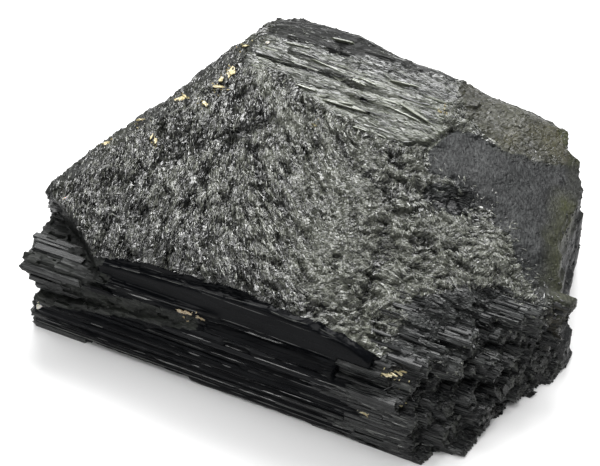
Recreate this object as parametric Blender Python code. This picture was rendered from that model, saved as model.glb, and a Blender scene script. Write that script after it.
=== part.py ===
"""Black tourmaline (schorl): one broken length of a thick, striated crystal, lying on a prism face.

The crystal's long axis runs along X. Its front (-Y), back and underside are prism faces, ribbed
along the axis. Its top is a rough break, and both ends are splintered across the fibres.
Run with: blender --background --python part.py
"""

import math
import random

import bmesh
import bpy
from mathutils import Vector, noise

MM = 0.001

# Driving sizes, in millimetres. X is along the crystal's axis, Y runs from front to back.
STOCK_START = -24.0
STOCK_END = 92.0
STOCK_TOP = 34.0
FRONT = 0.1
BACK = 68.0
ROOF_CELL = 2.0
ROOF_ROUNDING = 0.9

# The facets of the broken top: a point (x, y, z) on each, and its rise per millimetre in X and Y.
ROOF_FACETS = {
    "broad_break": (30.0, 3.0, 22.6, -0.045, 0.075),
    "left_shoulder": (5.8, 3.0, 19.2, 0.17, 0.44),
    "left_bevel": (-0.9, 39.0, 24.6, 0.59, -0.075),
    "back_bevel": (17.0, 66.4, 27.9, -0.19, -0.87),
    "back_left_corner": (11.0, 64.0, 27.8, 0.35, -0.54),
    "right_patch": (56.0, 45.0, 25.0, -0.36, -0.04),
    "lower_right": (50.0, 8.0, 21.4, -0.16, 0.09),
    "right_corner": (72.6, 23.0, 14.6, -0.52, 0.33),
}

# The valley that parts the broad break from the lower right one: its two ends, depth and half width.
VALLEY_BACK = Vector((45.2, 28.5))
VALLEY_FRONT = Vector((51.0, 6.5))
VALLEY_DEPTH = 1.5
VALLEY_HALF_WIDTH = 1.8
# The small hollow in the right half of the top.
HOLLOW_CENTRE = Vector((53.8, 37.0))
HOLLOW_RADII = Vector((4.4, 2.8))
HOLLOW_DEPTH = 1.9
# Worn, smoother patch: its front left corner, and what is left of the fine relief on it.
PATCH_CORNER = Vector((47.5, 38.0))
PATCH_RELIEF = 0.25
# The break's roughness, as (height, length in X, length in Y): lumps all over, then chips and grain.
ROOF_LUMPS = (0.75, 9.0, 6.0)
ROOF_CHIPS = (0.55, 3.1, 2.4)
ROOF_GRAIN = (0.35, 9.0, 1.9)

# The splintered ends, in plan, as (y, x) pairs: where each ends at its foot and at its head.
HEAD_HEIGHT = 20.0
RIGHT_FOOT = ((-8, 57.5), (0.3, 61), (3.6, 64.8), (6, 67.3), (9.6, 69.8), (14.9, 71.2), (21.2, 74),
              (26, 77), (31, 79), (38.6, 75.2), (50.7, 72.4), (57.7, 70.2), (66, 62), (80, 48))
RIGHT_HEAD = ((-8, 50), (4.6, 53.2), (8, 54.6), (14.9, 59.4), (22.9, 67), (27, 73), (33, 73.6), (38.6, 71.2),
              (47.4, 71.6), (52.3, 71.8), (57.9, 69), (62.2, 65.6), (67.1, 61.2), (80, 48))
LEFT_FOOT = ((-8, -12), (0.7, -9.6), (10, -9), (30, -6), (50, 0), (80, 9))
LEFT_HEAD = ((-8, -12), (12, -11.2), (14.2, -11.6), (26.3, -7.6), (39, -1.8), (53.6, 3.2), (60.9, 5.6),
             (80, 9))
# How far the front of the left end stands back at each height, as (z, distance), and how deep in Y.
LEFT_NOTCHES = ((0, 0.8), (3, 1.6), (6, 3.2), (7.6, 4.2), (8.8, 1.0), (11, 0.2), (12.8, 0.6),
                (15.6, 4.0), (18, 2.0), (20, 0))
NOTCH_REACH = Vector((6.0, 15.0))
# Fibre bundles at the ends: their usual size in Y and Z, the share of it that is the flat tip, and how
# unevenly they broke. They broke most unevenly at the front right.
BUNDLE = Vector((3.6, 2.9))
BUNDLE_JITTER = 0.16
BUNDLE_TIP = 0.76
BUNDLE_UNEVEN = 1.5
FRONT_UNEVEN = 2.6

# The stock's other corners in (y, z): the foot and the knee of the back, and the front's upper step.
BACK_FOOT = Vector((BACK - 8.0, 0.0))
BACK_KNEE = Vector((BACK + 0.6, 10.0))
BACK_HEAD = Vector((BACK - 0.4, STOCK_TOP))
FRONT_STEP = (Vector((4.6, STOCK_TOP)), Vector((3.6, 15.2)))
# The front's cross-section from its lip down to its foot: (distance behind FRONT, z).
FRONT_PROFILE = ((0.7, 14.4), (0.2, 11.2), (0.9, 10.6), (0.0, 6.2), (0.5, 5.6), (-0.1, 1.1), (0.3, 0.0))

# Raised blades on the top's striated strip: (start x, end x, y, width, lift above the roof).
TOP_BLADES = (
    (13.0, 34.0, 61.0, 2.6, 0.35),
    (27.5, 50.0, 58.0, 2.0, 0.45),
    (14.5, 26.5, 57.2, 1.6, 0.40),
    (29.0, 46.5, 54.4, 1.8, 0.55),
    (20.5, 45.8, 51.4, 1.8, 0.60),
    (25.0, 44.6, 48.6, 1.4, 0.50),
    (32.0, 43.5, 46.2, 1.2, 0.40),
)
BLADE_SUNK = 3.0
BLADE_CREST = 0.7
BLADE_PIVOT = 30.0
BLADE_TURN = math.tan(math.radians(1.5))

# Bars let into the front, each by its left and right end sections: (x, y at the foot, y at the head,
# foot z, head z).
FRONT_BLADE = ((3.4, 2.5, 2.9, 16.4, 18.6), (53.2, 1.7, 2.3, 14.6, 23.0))
LEDGE = ((-16.0, 0.6, 0.6, 12.6, 15.6), (27.0, 1.9, 1.9, 14.4, 16.9))
RECESS = ((-18.0, 3.0, 3.0, 5.4, 12.9), (25.0, 1.4, 1.4, 13.7, 14.9))
BURIED_Y = 9.0
CLEAR_Y = -5.0
# The space above the ledge, in front of the top block's left end, in plan, and where it starts in Z.
SHELF_OUTLINE = ((-24.0, -8.0), (4.8, -8.0), (4.4, 2.8), (-2.6, 8.6), (-10.4, 12.6), (-24.0, 15.5))
SHELF_HEIGHT = 15.7

# Chips out of the front, the underside's edge and the ribs: (start x, end x, low z, high z, depth in Y).
FRONT_CHIPS = (
    (2.0, 22.5, -2.0, 0.9, 1.3),
    (28.0, 33.5, 11.7, 13.1, 0.9),
    (46.5, 58.0, 12.0, 16.4, 2.7),
)
CHIP_SLANT = 0.25


def collection_named(name):
    """Returns a new collection, linked to the scene."""
    made = bpy.data.collections.new(name)
    bpy.context.scene.collection.children.link(made)
    return made


def clear_scene():
    """Removes every object, so that the script starts from nothing."""
    for obj in list(bpy.data.objects):
        bpy.data.objects.remove(obj)


def mesh_object(name, bm, home):
    """Turns a bmesh, in millimetres, into an object in metres and links it to its collection."""
    bmesh.ops.scale(bm, vec=(MM, MM, MM), verts=bm.verts)
    bmesh.ops.recalc_face_normals(bm, faces=bm.faces)
    mesh = bpy.data.meshes.new(name)
    bm.to_mesh(mesh)
    bm.free()
    obj = bpy.data.objects.new(name, mesh)
    home.objects.link(obj)
    return obj


def mark_as_cutter(obj):
    """A cutter shapes the crystal and is never shown."""
    obj.hide_render = True
    obj.display_type = "WIRE"
    return obj


def slab_from_outline(name, points, low, high, home, upright=True):
    """Extrudes a closed flat outline, as a filled 2D curve turned into a mesh.

    An upright slab has its outline in plan and runs from low to high in Z.
    Otherwise the outline is in Y and Z, and it runs from low to high along X.
    """
    curve = bpy.data.curves.new(name, "CURVE")
    curve.dimensions = "2D"
    curve.fill_mode = "BOTH"
    curve.extrude = (high - low) / 2 * MM
    spline = curve.splines.new("POLY")
    spline.points.add(len(points) - 1)
    for point, (a, b) in zip(spline.points, points):
        point.co = (a * MM, b * MM, 0.0, 1.0)
    spline.use_cyclic_u = True
    guide = bpy.data.objects.new(name + "_outline", curve)
    home.objects.link(guide)
    middle = (low + high) / 2 * MM
    if upright:
        guide.location = (0.0, 0.0, middle)
    else:
        guide.location = (middle, 0.0, 0.0)
        guide.rotation_euler = (math.pi / 2, 0.0, math.pi / 2)
    bpy.context.view_layer.update()
    evaluated = guide.evaluated_get(bpy.context.evaluated_depsgraph_get())
    mesh = bpy.data.meshes.new_from_object(evaluated)
    mesh.name = name
    bm = bmesh.new()
    bm.from_mesh(mesh)
    bmesh.ops.remove_doubles(bm, verts=bm.verts, dist=1e-6)
    bmesh.ops.recalc_face_normals(bm, faces=bm.faces)
    bm.to_mesh(mesh)
    bm.free()
    obj = bpy.data.objects.new(name, mesh)
    obj.matrix_world = guide.matrix_world.copy()
    home.objects.link(obj)
    bpy.data.objects.remove(guide)
    return obj


def box_between(name, low, high, home, reshape=None):
    """A cube primitive stretched to two corners. reshape(x, y, z) may move each corner, in millimetres."""
    bm = bmesh.new()
    bmesh.ops.create_cube(bm, size=1.0)
    centre = (Vector(low) + Vector(high)) / 2
    size = Vector(high) - Vector(low)
    for vert in bm.verts:
        vert.co = Vector(c + v * s for c, v, s in zip(centre, vert.co, size))
        if reshape:
            vert.co = reshape(vert.co)
    return mesh_object(name, bm, home)


def facet_height(facet, x, y):
    """The height of a roof facet at (x, y)."""
    at_x, at_y, at_z, rise_x, rise_y = facet
    return at_z + rise_x * (x - at_x) + rise_y * (y - at_y)


def smooth_min(values, rounding):
    """The lowest of several heights, with the edges between them rounded off."""
    lowest = min(values)
    total = sum(math.exp(-(v - lowest) / rounding) for v in values)
    return lowest - rounding * math.log(total)


def fade(value, low, high):
    """0 below low, 1 above high, and smooth between."""
    t = min(1.0, max(0.0, (value - low) / (high - low)))
    return t * t * (3 - 2 * t)


def valley_dip(x, y):
    """How far the valley lowers the top: a steep left flank and a slow rise on its right."""
    along = VALLEY_FRONT - VALLEY_BACK
    offset = Vector((x, y)) - VALLEY_BACK
    share = offset.dot(along) / along.length_squared
    across = (along.y * offset.x - along.x * offset.y) / along.length
    reach = fade(share, -0.15, 0.2) * (1 - fade(share, 0.95, 1.2))
    side = -across / VALLEY_HALF_WIDTH
    width = 1.0 if side < 0 else 3.0
    return VALLEY_DEPTH * reach * math.exp(-((side / width) ** 2))


def rough(x, y, roughness):
    """Smooth noise of a given height and lengths at (x, y)."""
    height, length_x, length_y = roughness
    return height * noise.noise(Vector((x / length_x, y / length_y, length_x + length_y)))


def roof_relief(x, y):
    """The break's own roughness: lumps, chips, a fibrous grain along X, the valley and the hollow."""
    worn = fade(x, PATCH_CORNER.x, PATCH_CORNER.x + 4) * fade(y, PATCH_CORNER.y, PATCH_CORNER.y + 5)
    fine = (rough(x, y, ROOF_CHIPS) + rough(x, y, ROOF_GRAIN)) * (1 - (1 - PATCH_RELIEF) * worn)
    hollow = Vector(((x - HOLLOW_CENTRE.x) / HOLLOW_RADII.x, (y - HOLLOW_CENTRE.y) / HOLLOW_RADII.y))
    dip = HOLLOW_DEPTH * math.exp(-hollow.length_squared)
    return rough(x, y, ROOF_LUMPS) + fine - dip - valley_dip(x, y)


def plain_roof_height(x, y):
    """The height of the roof's facets at (x, y), with their edges rounded."""
    return smooth_min([facet_height(facet, x, y) for facet in ROOF_FACETS.values()], ROOF_ROUNDING)


def roof_height(x, y):
    """The height of the broken top at (x, y), in millimetres."""
    return plain_roof_height(x, y) + roof_relief(x, y)


def make_roof_cutter(home):
    """A block above the crystal whose underside is the rough break."""
    reach_x, reach_y = STOCK_END - STOCK_START + 8, BACK - FRONT + 24
    bm = bmesh.new()
    bmesh.ops.create_grid(
        bm,
        x_segments=round(reach_x / ROOF_CELL),
        y_segments=round(reach_y / ROOF_CELL),
        size=0.5,
    )
    for vert in bm.verts:
        x = (STOCK_START + STOCK_END) / 2 + vert.co.x * reach_x
        y = (FRONT + BACK) / 2 + vert.co.y * reach_y
        shift = 0.3 * ROOF_CELL
        x += shift * noise.noise(Vector((x, y, 3.0)))
        y += shift * noise.noise(Vector((x, y, 8.0)))
        vert.co = (x, y, roof_height(x, y))
    made = bmesh.ops.extrude_face_region(bm, geom=bm.faces[:])
    for vert in (g for g in made["geom"] if isinstance(g, bmesh.types.BMVert)):
        vert.co.z = STOCK_TOP + 12
    return mark_as_cutter(mesh_object("roof_cutter", bm, home))


def ribbed_run(start, end, ribs, depth, seed, uneven=0.3):
    """Points from start to end along a prism face: flat rib crests with a narrow groove after each.

    The grooves are cut to the left of the direction of travel, which is into the stock. uneven is the
    share of the depth by which the crests differ.
    """
    pick = random.Random(seed)
    start, end = Vector(start), Vector(end)
    along = end - start
    inward = Vector((-along.y, along.x)).normalized()
    widths = [pick.uniform(0.5, 1.5) for _ in range(ribs)]
    total = sum(widths)
    points = []
    travelled = 0.0
    for width in widths[:-1]:
        travelled += width
        at = start + along * (travelled / total)
        step = along.normalized() * min(0.28, 0.2 * along.length / ribs)
        sink = depth * pick.uniform(0.5, 1.0)
        crest = inward * pick.uniform(-uneven, uneven) * depth
        points += [at - step + crest, at + inward * sink, at + step - crest]
    return points


def make_stock(home):
    """The crystal before it broke: its cross-section, with all ribs, extruded along the axis."""
    front = [Vector((FRONT + dy, z)) for dy, z in FRONT_PROFILE]
    outline = [front[-1], *ribbed_run(front[-1], BACK_FOOT, 9, 0.45, 11, uneven=0.0)]
    outline += [BACK_FOOT, *ribbed_run(BACK_FOOT, BACK_KNEE, 7, 0.5, 12)]
    outline += [BACK_KNEE, *ribbed_run(BACK_KNEE, BACK_HEAD, 12, 0.6, 13)]
    outline += [BACK_HEAD, *FRONT_STEP]
    for i, (start, end) in enumerate(zip(front, front[1:])):
        outline += [start, *ribbed_run(start, end, 3, 0.4, 20 + i)]
    return slab_from_outline("tourmaline_crystal", outline, STOCK_START, STOCK_END, home, upright=False)


def tapered_bar(name, ends, far_y, home):
    """A bar between two end sections. far_y is where its other side is, in the crystal or clear of it."""

    def place(corner):
        x, foot_y, head_y, foot_z, head_z = ends[1] if corner.x > 0 else ends[0]
        near_y, z = (head_y, head_z) if corner.z > 0 else (foot_y, foot_z)
        return Vector((x, near_y if corner.y < 0 else far_y, z))

    half = Vector((1.0, 1.0, 1.0))
    return mark_as_cutter(box_between(name, -half, half, home, place))


def read_line(pairs, at):
    """Reads a line given as (position, value) pairs at a position."""
    for (low, first), (high, last) in zip(pairs, pairs[1:]):
        if at <= high:
            return first + (last - first) * max(0.0, at - low) / (high - low)
    return pairs[-1][1]


def right_end(y, z):
    """Where the right end lies along X, at (y, z)."""
    share = z / HEAD_HEIGHT
    return read_line(RIGHT_FOOT, y) * (1 - share) + read_line(RIGHT_HEAD, y) * share


def left_end(y, z):
    """Where the left end lies along X, at (y, z)."""
    share = z / HEAD_HEIGHT
    notch = read_line(LEFT_NOTCHES, z) * (1 - fade(y, *NOTCH_REACH))
    return read_line(LEFT_FOOT, y) * (1 - share) + read_line(LEFT_HEAD, y) * share + notch


def uneven_steps(low, high, usual, pick):
    """Positions from low to high, whose steps are between 0.45 and 1.55 of the usual one."""
    steps = [pick.uniform(0.45, 1.55) for _ in range(round((high - low) / usual))]
    return [low + (high - low) * sum(steps[:i]) / sum(steps) for i in range(len(steps) + 1)]


def make_end_cutter(name, end_at, outward, home, seed):
    """A block past one end, whose inner side is a bed of broken fibre bundles.

    Each bundle's tip is flat and square to the axis, and it stands longer or shorter than its
    neighbours, with a groove around it.
    """
    pick = random.Random(seed)
    lines = [uneven_steps(-9.0, 78.0, BUNDLE.x, pick), uneven_steps(-4.0, STOCK_TOP + 3.0, BUNDLE.y, pick)]
    bm = bmesh.new()
    bmesh.ops.create_grid(bm, x_segments=len(lines[0]) - 1, y_segments=len(lines[1]) - 1, size=0.5)
    for vert in bm.verts:
        y, z = (line[round((at + 0.5) * (len(line) - 1))] for line, at in zip(lines, vert.co))
        jitter = [BUNDLE[i] * pick.uniform(-1, 1) * BUNDLE_JITTER for i in range(2)]
        vert.co = (0.0, y + jitter[0], z + jitter[1])
    bundles = bm.faces[:]
    bmesh.ops.inset_individual(bm, faces=bundles, thickness=0.0)
    for face in bundles:
        centre = face.calc_center_median()
        for vert in face.verts:
            vert.co = centre.lerp(vert.co, BUNDLE_TIP)
    for vert in bm.verts:
        vert.co.x = end_at(vert.co.y, vert.co.z)
    for face in bundles:
        centre = face.calc_center_median()
        uneven = BUNDLE_UNEVEN + (FRONT_UNEVEN * (1 - fade(centre.y, 14, 26)) if outward > 0 else 0.0)
        tip = centre.x + outward * uneven * (pick.random() ** 2 - 0.1)
        for vert in face.verts:
            vert.co.x = tip + 0.25 * (vert.co.x - tip)
    made = bmesh.ops.extrude_face_region(bm, geom=bm.faces[:])
    far = STOCK_END + 8 if outward > 0 else STOCK_START - 8
    for vert in (g for g in made["geom"] if isinstance(g, bmesh.types.BMVert)):
        vert.co.x = far
    return mark_as_cutter(mesh_object(name, bm, home))


def make_chip_cutter(index, chip, home):
    """One chip out of the front, with slanted ends, its inner side facing a little up."""
    start, end, low, high, depth = chip

    def slant(point):
        if point.y > 0:
            inward = 1 if point.x < (start + end) / 2 else -1
            point.x += CHIP_SLANT * (high - low) * inward
            point.y += CHIP_SLANT if point.z > (low + high) / 2 else -CHIP_SLANT
        return point

    corners = (start, -9.0, low), (end, FRONT + depth, high)
    return mark_as_cutter(box_between(f"chip_cutter_{index}", *corners, home, slant))


def make_shelf_cutter(home):
    """Clears the ledge's upper side, in front of the top block's left end."""
    return mark_as_cutter(slab_from_outline("shelf_cutter", SHELF_OUTLINE, SHELF_HEIGHT, STOCK_TOP + 6, home))


def make_top_blades(home):
    """The raised blades of the striated strip along the back of the top, each lying on the roof."""
    made = []
    for i, (start, end, y, width, lift) in enumerate(TOP_BLADES):

        def lie_on_roof(corner, start=start, end=end, y=y, width=width, lift=lift):
            x = end if corner.x > 0 else start
            side = width / 2 if corner.y > 0 else -width / 2
            across = side * (BLADE_CREST if corner.z > 0 else 1.0)
            height = plain_roof_height(x, y) + (lift if corner.z > 0 else -BLADE_SUNK)
            return Vector((x, y + across + BLADE_TURN * (x - BLADE_PIVOT), height))

        half = Vector((1.0, 1.0, 1.0))
        made.append(mark_as_cutter(box_between(f"top_blade_{i}", -half, half, home, lie_on_roof)))
    return made


def combine(target, others, operation):
    """Adds one Boolean modifier to the target for each of the other objects."""
    for other in others:
        modifier = target.modifiers.new(other.name, "BOOLEAN")
        modifier.object = other
        modifier.operation = operation
        modifier.solver = "EXACT"


def black_tourmaline():
    """The crystal's material: near black, with a dull glassy sheen."""
    material = bpy.data.materials.new("black_tourmaline")
    material.use_nodes = True
    shader = material.node_tree.nodes["Principled BSDF"]
    shader.inputs["Base Color"].default_value = (0.022, 0.023, 0.024, 1.0)
    shader.inputs["Roughness"].default_value = 0.38
    shader.inputs["Metallic"].default_value = 0.0
    shader.inputs["IOR"].default_value = 1.64
    return material


def stand_on_origin(obj):
    """Moves the crystal and its cutters so that its box stands centred on the origin."""
    bpy.context.view_layer.update()
    evaluated = obj.evaluated_get(bpy.context.evaluated_depsgraph_get())
    corners = [evaluated.matrix_world @ Vector(corner) for corner in evaluated.bound_box]
    low = Vector(min(c[i] for c in corners) for i in range(3))
    high = Vector(max(c[i] for c in corners) for i in range(3))
    shift = Vector(((low.x + high.x) / 2, (low.y + high.y) / 2, low.z))
    for other in bpy.data.objects:
        other.location -= shift
    print("origin shift in mm:", [round(v / MM, 3) for v in shift])


def main():
    """Builds the crystal from its stock and its cutters."""
    clear_scene()
    shown = collection_named("tourmaline_crystal")
    cutters = collection_named("cutters")
    crystal = make_stock(shown)
    crystal.data.materials.append(black_tourmaline())
    bars = [tapered_bar("front_blade", FRONT_BLADE, BURIED_Y, cutters),
            tapered_bar("ledge", LEDGE, BURIED_Y, cutters)]
    combine(crystal, bars, "UNION")
    ends = [make_end_cutter("right_end_cutter", right_end, 1, cutters, 5),
            make_end_cutter("left_end_cutter", left_end, -1, cutters, 16)]
    combine(crystal, ends, "DIFFERENCE")
    combine(crystal, [make_roof_cutter(cutters)], "DIFFERENCE")
    combine(crystal, make_top_blades(cutters), "UNION")
    hollows = [make_shelf_cutter(cutters), tapered_bar("recess_cutter", RECESS, CLEAR_Y, cutters)]
    combine(crystal, hollows, "DIFFERENCE")
    combine(crystal, [make_chip_cutter(i, chip, cutters) for i, chip in enumerate(FRONT_CHIPS)], "DIFFERENCE")
    stand_on_origin(crystal)


main()
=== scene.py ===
"""Looks of a broken length of black tourmaline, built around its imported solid.

Lengths are in millimetres, in the solid's own frame, until a mesh is made. X runs along the crystal's
axis, Y from the front to the back and Z up. The crystal is one closed body, and splinters, ribs and
bars of the same stone are let into its surface wherever it broke or grew finer than the surface itself
holds. Flecks of mica sit on it.
"""

import logging
import math
from dataclasses import dataclass
from enum import Enum
from itertools import product

import bpy
import numpy as np
from mathutils import Matrix, Vector
from mathutils.bvhtree import BVHTree
from mathutils.kdtree import KDTree


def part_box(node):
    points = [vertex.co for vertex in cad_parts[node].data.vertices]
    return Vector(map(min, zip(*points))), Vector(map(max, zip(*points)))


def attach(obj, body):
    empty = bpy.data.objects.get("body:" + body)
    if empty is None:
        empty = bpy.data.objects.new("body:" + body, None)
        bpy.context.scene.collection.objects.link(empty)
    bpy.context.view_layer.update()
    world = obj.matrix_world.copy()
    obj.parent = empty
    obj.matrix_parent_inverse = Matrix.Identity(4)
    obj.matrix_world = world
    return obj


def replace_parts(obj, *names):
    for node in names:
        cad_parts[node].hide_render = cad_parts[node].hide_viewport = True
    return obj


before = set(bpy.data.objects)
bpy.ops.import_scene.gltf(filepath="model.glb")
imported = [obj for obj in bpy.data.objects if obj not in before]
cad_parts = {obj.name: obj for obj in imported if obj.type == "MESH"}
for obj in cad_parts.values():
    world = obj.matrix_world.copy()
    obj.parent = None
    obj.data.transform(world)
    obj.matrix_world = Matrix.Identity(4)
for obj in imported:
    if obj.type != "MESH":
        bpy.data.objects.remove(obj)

MM = 0.001
NODE = "tourmaline_crystal"
BODY = "root"
SEED = 41

log = logging.getLogger("tourmaline")

NEAR, FAR = 60, 90
"""How far out rays start, in millimetres: from the ends and the top, and from a whole face."""

Array = np.ndarray
Piece = bpy.types.Object
Random = np.random.Generator
Socket = bpy.types.NodeSocket
Inputs = dict[str | int, object]
Span = tuple[float, float]
Triple = tuple[float, float, float]
Outline = tuple[Span, ...]

UP, DOWN, FRONTWARD, BACKWARD, RIGHTWARD = (0, 0, 1), (0, 0, -1), (0, -1, 0), (0, 1, 0), (1, 0, 0)


# ---- noise and small geometry


@dataclass(frozen=True)
class Noise:
    """Seeded noise at points in space, whose lattice cells are one unit wide.

    Attributes:
        seed: Which of the many like patterns this one is.
    """

    seed: int

    def lattice(self, cell: Array, channel: int = 0) -> Array:
        """Gives each lattice cell a number of its own.

        Args:
            cell: Whole-numbered cell corners, (n, 3).
            channel: Which of the cell's many numbers to give.

        Returns:
            Numbers from -1 to 1, (n,).
        """
        whole = cell.astype(np.int64).astype(np.uint64)
        mixed = whole[:, 0] * np.uint64(73856093)
        mixed ^= whole[:, 1] * np.uint64(19349663)
        mixed ^= whole[:, 2] * np.uint64(83492791)
        mixed ^= np.uint64((self.seed * 7919 + channel * 104729) % 2**31)
        mixed = (mixed ^ (mixed >> np.uint64(15))) * np.uint64(2246822519)
        mixed = (mixed ^ (mixed >> np.uint64(13))) * np.uint64(3266489917)
        mixed ^= mixed >> np.uint64(16)
        return (mixed & np.uint64(0xFFFFFF)).astype(float) / 0x7FFFFF - 1

    def smooth(self, points: Array, channel: int = 0) -> Array:
        """Gives smooth noise.

        Args:
            points: Where to read it, (n, 3), in lattice cells.
            channel: Which of several independent patterns to read.

        Returns:
            Numbers from -1 to 1, (n,).
        """
        cell = np.floor(points)
        part = points - cell
        eased = part * part * (3 - 2 * part)
        total = np.zeros(len(points))
        for corner in product((0, 1), repeat=3):
            weight = np.prod(np.where(corner, eased, 1 - eased), axis=1)
            total += weight * self.lattice(cell + corner, channel)
        return total

    def layered(self, points: Array, layers: int, channel: int = 0) -> Array:
        """Adds layers of smooth noise, each half the size and height of the one before.

        Args:
            points: Where to read it, (n, 3), in cells of the coarsest layer.
            layers: How many layers to add.
            channel: Which of several independent patterns to read.

        Returns:
            Numbers from about -1 to 1, (n,).
        """
        total = np.zeros(len(points))
        for layer in range(layers):
            total += self.smooth(points * 2**layer, channel + 17 * layer) * 0.5**layer
        return total / (2 - 0.5 ** (layers - 1))

    def chips(self, points: Array, tilt: float) -> Array:
        """Heights from about -1 to 1 of flat chips, one unit wide, that lean by up to the tilt, (n,)."""
        cell, gap = self.nearest(points)
        return 0.6 * self.lattice(cell, 7) + tilt * (gap * self.vectors(cell, 4)).sum(axis=1)

    def nearest(self, points: Array) -> tuple[Array, Array]:
        """Finds the irregular cell that each point is in.

        Args:
            points: Points, (n, 3), in cells.

        Returns:
            The cells' corners and the points' offsets from the cells' middles, (n, 3) each.
        """
        home = np.floor(points)
        best = np.full(len(points), np.inf)
        cell, offset = np.zeros_like(points), np.zeros_like(points)
        for step in product((-1, 0, 1), repeat=3):
            corner = home + step
            gap = points - (corner + 0.5 + 0.45 * self.vectors(corner, 1))
            distance = (gap * gap).sum(axis=1)
            closer = distance < best
            best[closer] = distance[closer]
            cell[closer] = corner[closer]
            offset[closer] = gap[closer]
        return cell, offset

    def vectors(self, cell: Array, channel: int) -> Array:
        """Three lattice numbers for each cell, from this channel on, (n, 3)."""
        return np.stack([self.lattice(cell, channel + i) for i in range(3)], axis=1)


def ease(value: Array, low: float, high: float) -> Array:
    """A smooth rise from 0 where the value is low to 1 where it is high."""
    share = np.clip((value - low) / (high - low), 0, 1)
    return share * share * (3 - 2 * share)


def fall(value: Array, low: float, high: float) -> Array:
    """A smooth fall from 1 where the value is low to 0 where it is high."""
    return 1 - ease(value, low, high)


def apart(amount: Array, *others: Array) -> Array:
    """Takes from an amount what others cover.

    Args:
        amount: The amount at each vertex, (n,).
        others: How much of each vertex the others cover, from 0 to 1, (n,) each.

    Returns:
        What is left of the amount, (n,).
    """
    for other in others:
        amount = amount * (1 - other)
    return amount


def in_plan(angle: Array) -> Array:
    """The level directions at angles from +X, in radians, (n, 3)."""
    return np.stack([np.cos(angle), np.sin(angle), np.zeros_like(angle)], axis=1)


def turned_level(points: Array, heading: float) -> Array:
    """Points turned about Z until what lay along the heading, in degrees, lies along X, (n, 3)."""
    return points @ np.array(Matrix.Rotation(math.radians(-heading), 3, "Z")).T


def unit(vectors: Array) -> Array:
    """The same directions, each one unit long, (n, 3)."""
    return vectors / np.maximum(np.linalg.norm(vectors, axis=1, keepdims=True), 1e-12)


def path_distance(spots: Array, path: Outline) -> Array:
    """Measures how far spots are from a path in plan.

    Args:
        spots: Spots in (x, y), (n, 2).
        path: The path's corners in (x, y).

    Returns:
        Distances, (n,).
    """
    corners = np.array(path, dtype=float)
    nearest = np.linalg.norm(spots - corners[0], axis=1)
    for start, end in zip(corners[:-1], corners[1:]):
        along = end - start
        share = np.clip(((spots - start) @ along) / (along @ along), 0, 1)
        nearest = np.minimum(nearest, np.linalg.norm(spots - start - share[:, None] * along, axis=1))
    return nearest


def within(points: Array, outline: Outline, softness: float) -> Array:
    """Tells how far points are inside an outline in plan.

    Args:
        points: Points, (n, 3).
        outline: The outline's corners in (x, y).
        softness: How wide the outline's faded edge is.

    Returns:
        0 outside, 1 inside and between at the edge, (n,).
    """
    corners = np.array(outline, dtype=float)
    spot = points[:, :2]
    inside = np.zeros(len(points), dtype=bool)
    for start, end in zip(corners, np.roll(corners, -1, axis=0)):
        spans = (start[1] > spot[:, 1]) != (end[1] > spot[:, 1])
        rise = end[1] - start[1] or 1e-9
        crossing = start[0] + (spot[:, 1] - start[1]) / rise * (end[0] - start[0])
        inside ^= spans & (spot[:, 0] < crossing)
    nearest = path_distance(spot, (*outline, outline[0]))
    return ease(np.where(inside, nearest, -nearest), -softness / 2, softness / 2)


def vertex_normals(points: Array, triangles: Array) -> Array:
    """Works out smooth normals.

    Args:
        points: Vertices, (n, 3).
        triangles: Three vertex numbers each, (m, 3).

    Returns:
        One unit normal a vertex, (n, 3).
    """
    a, b, c = (points[triangles[:, i]] for i in range(3))
    facing = np.cross(b - a, c - a)
    total = np.zeros_like(points)
    for i in range(3):
        np.add.at(total, triangles[:, i], facing)
    return unit(total)


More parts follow.
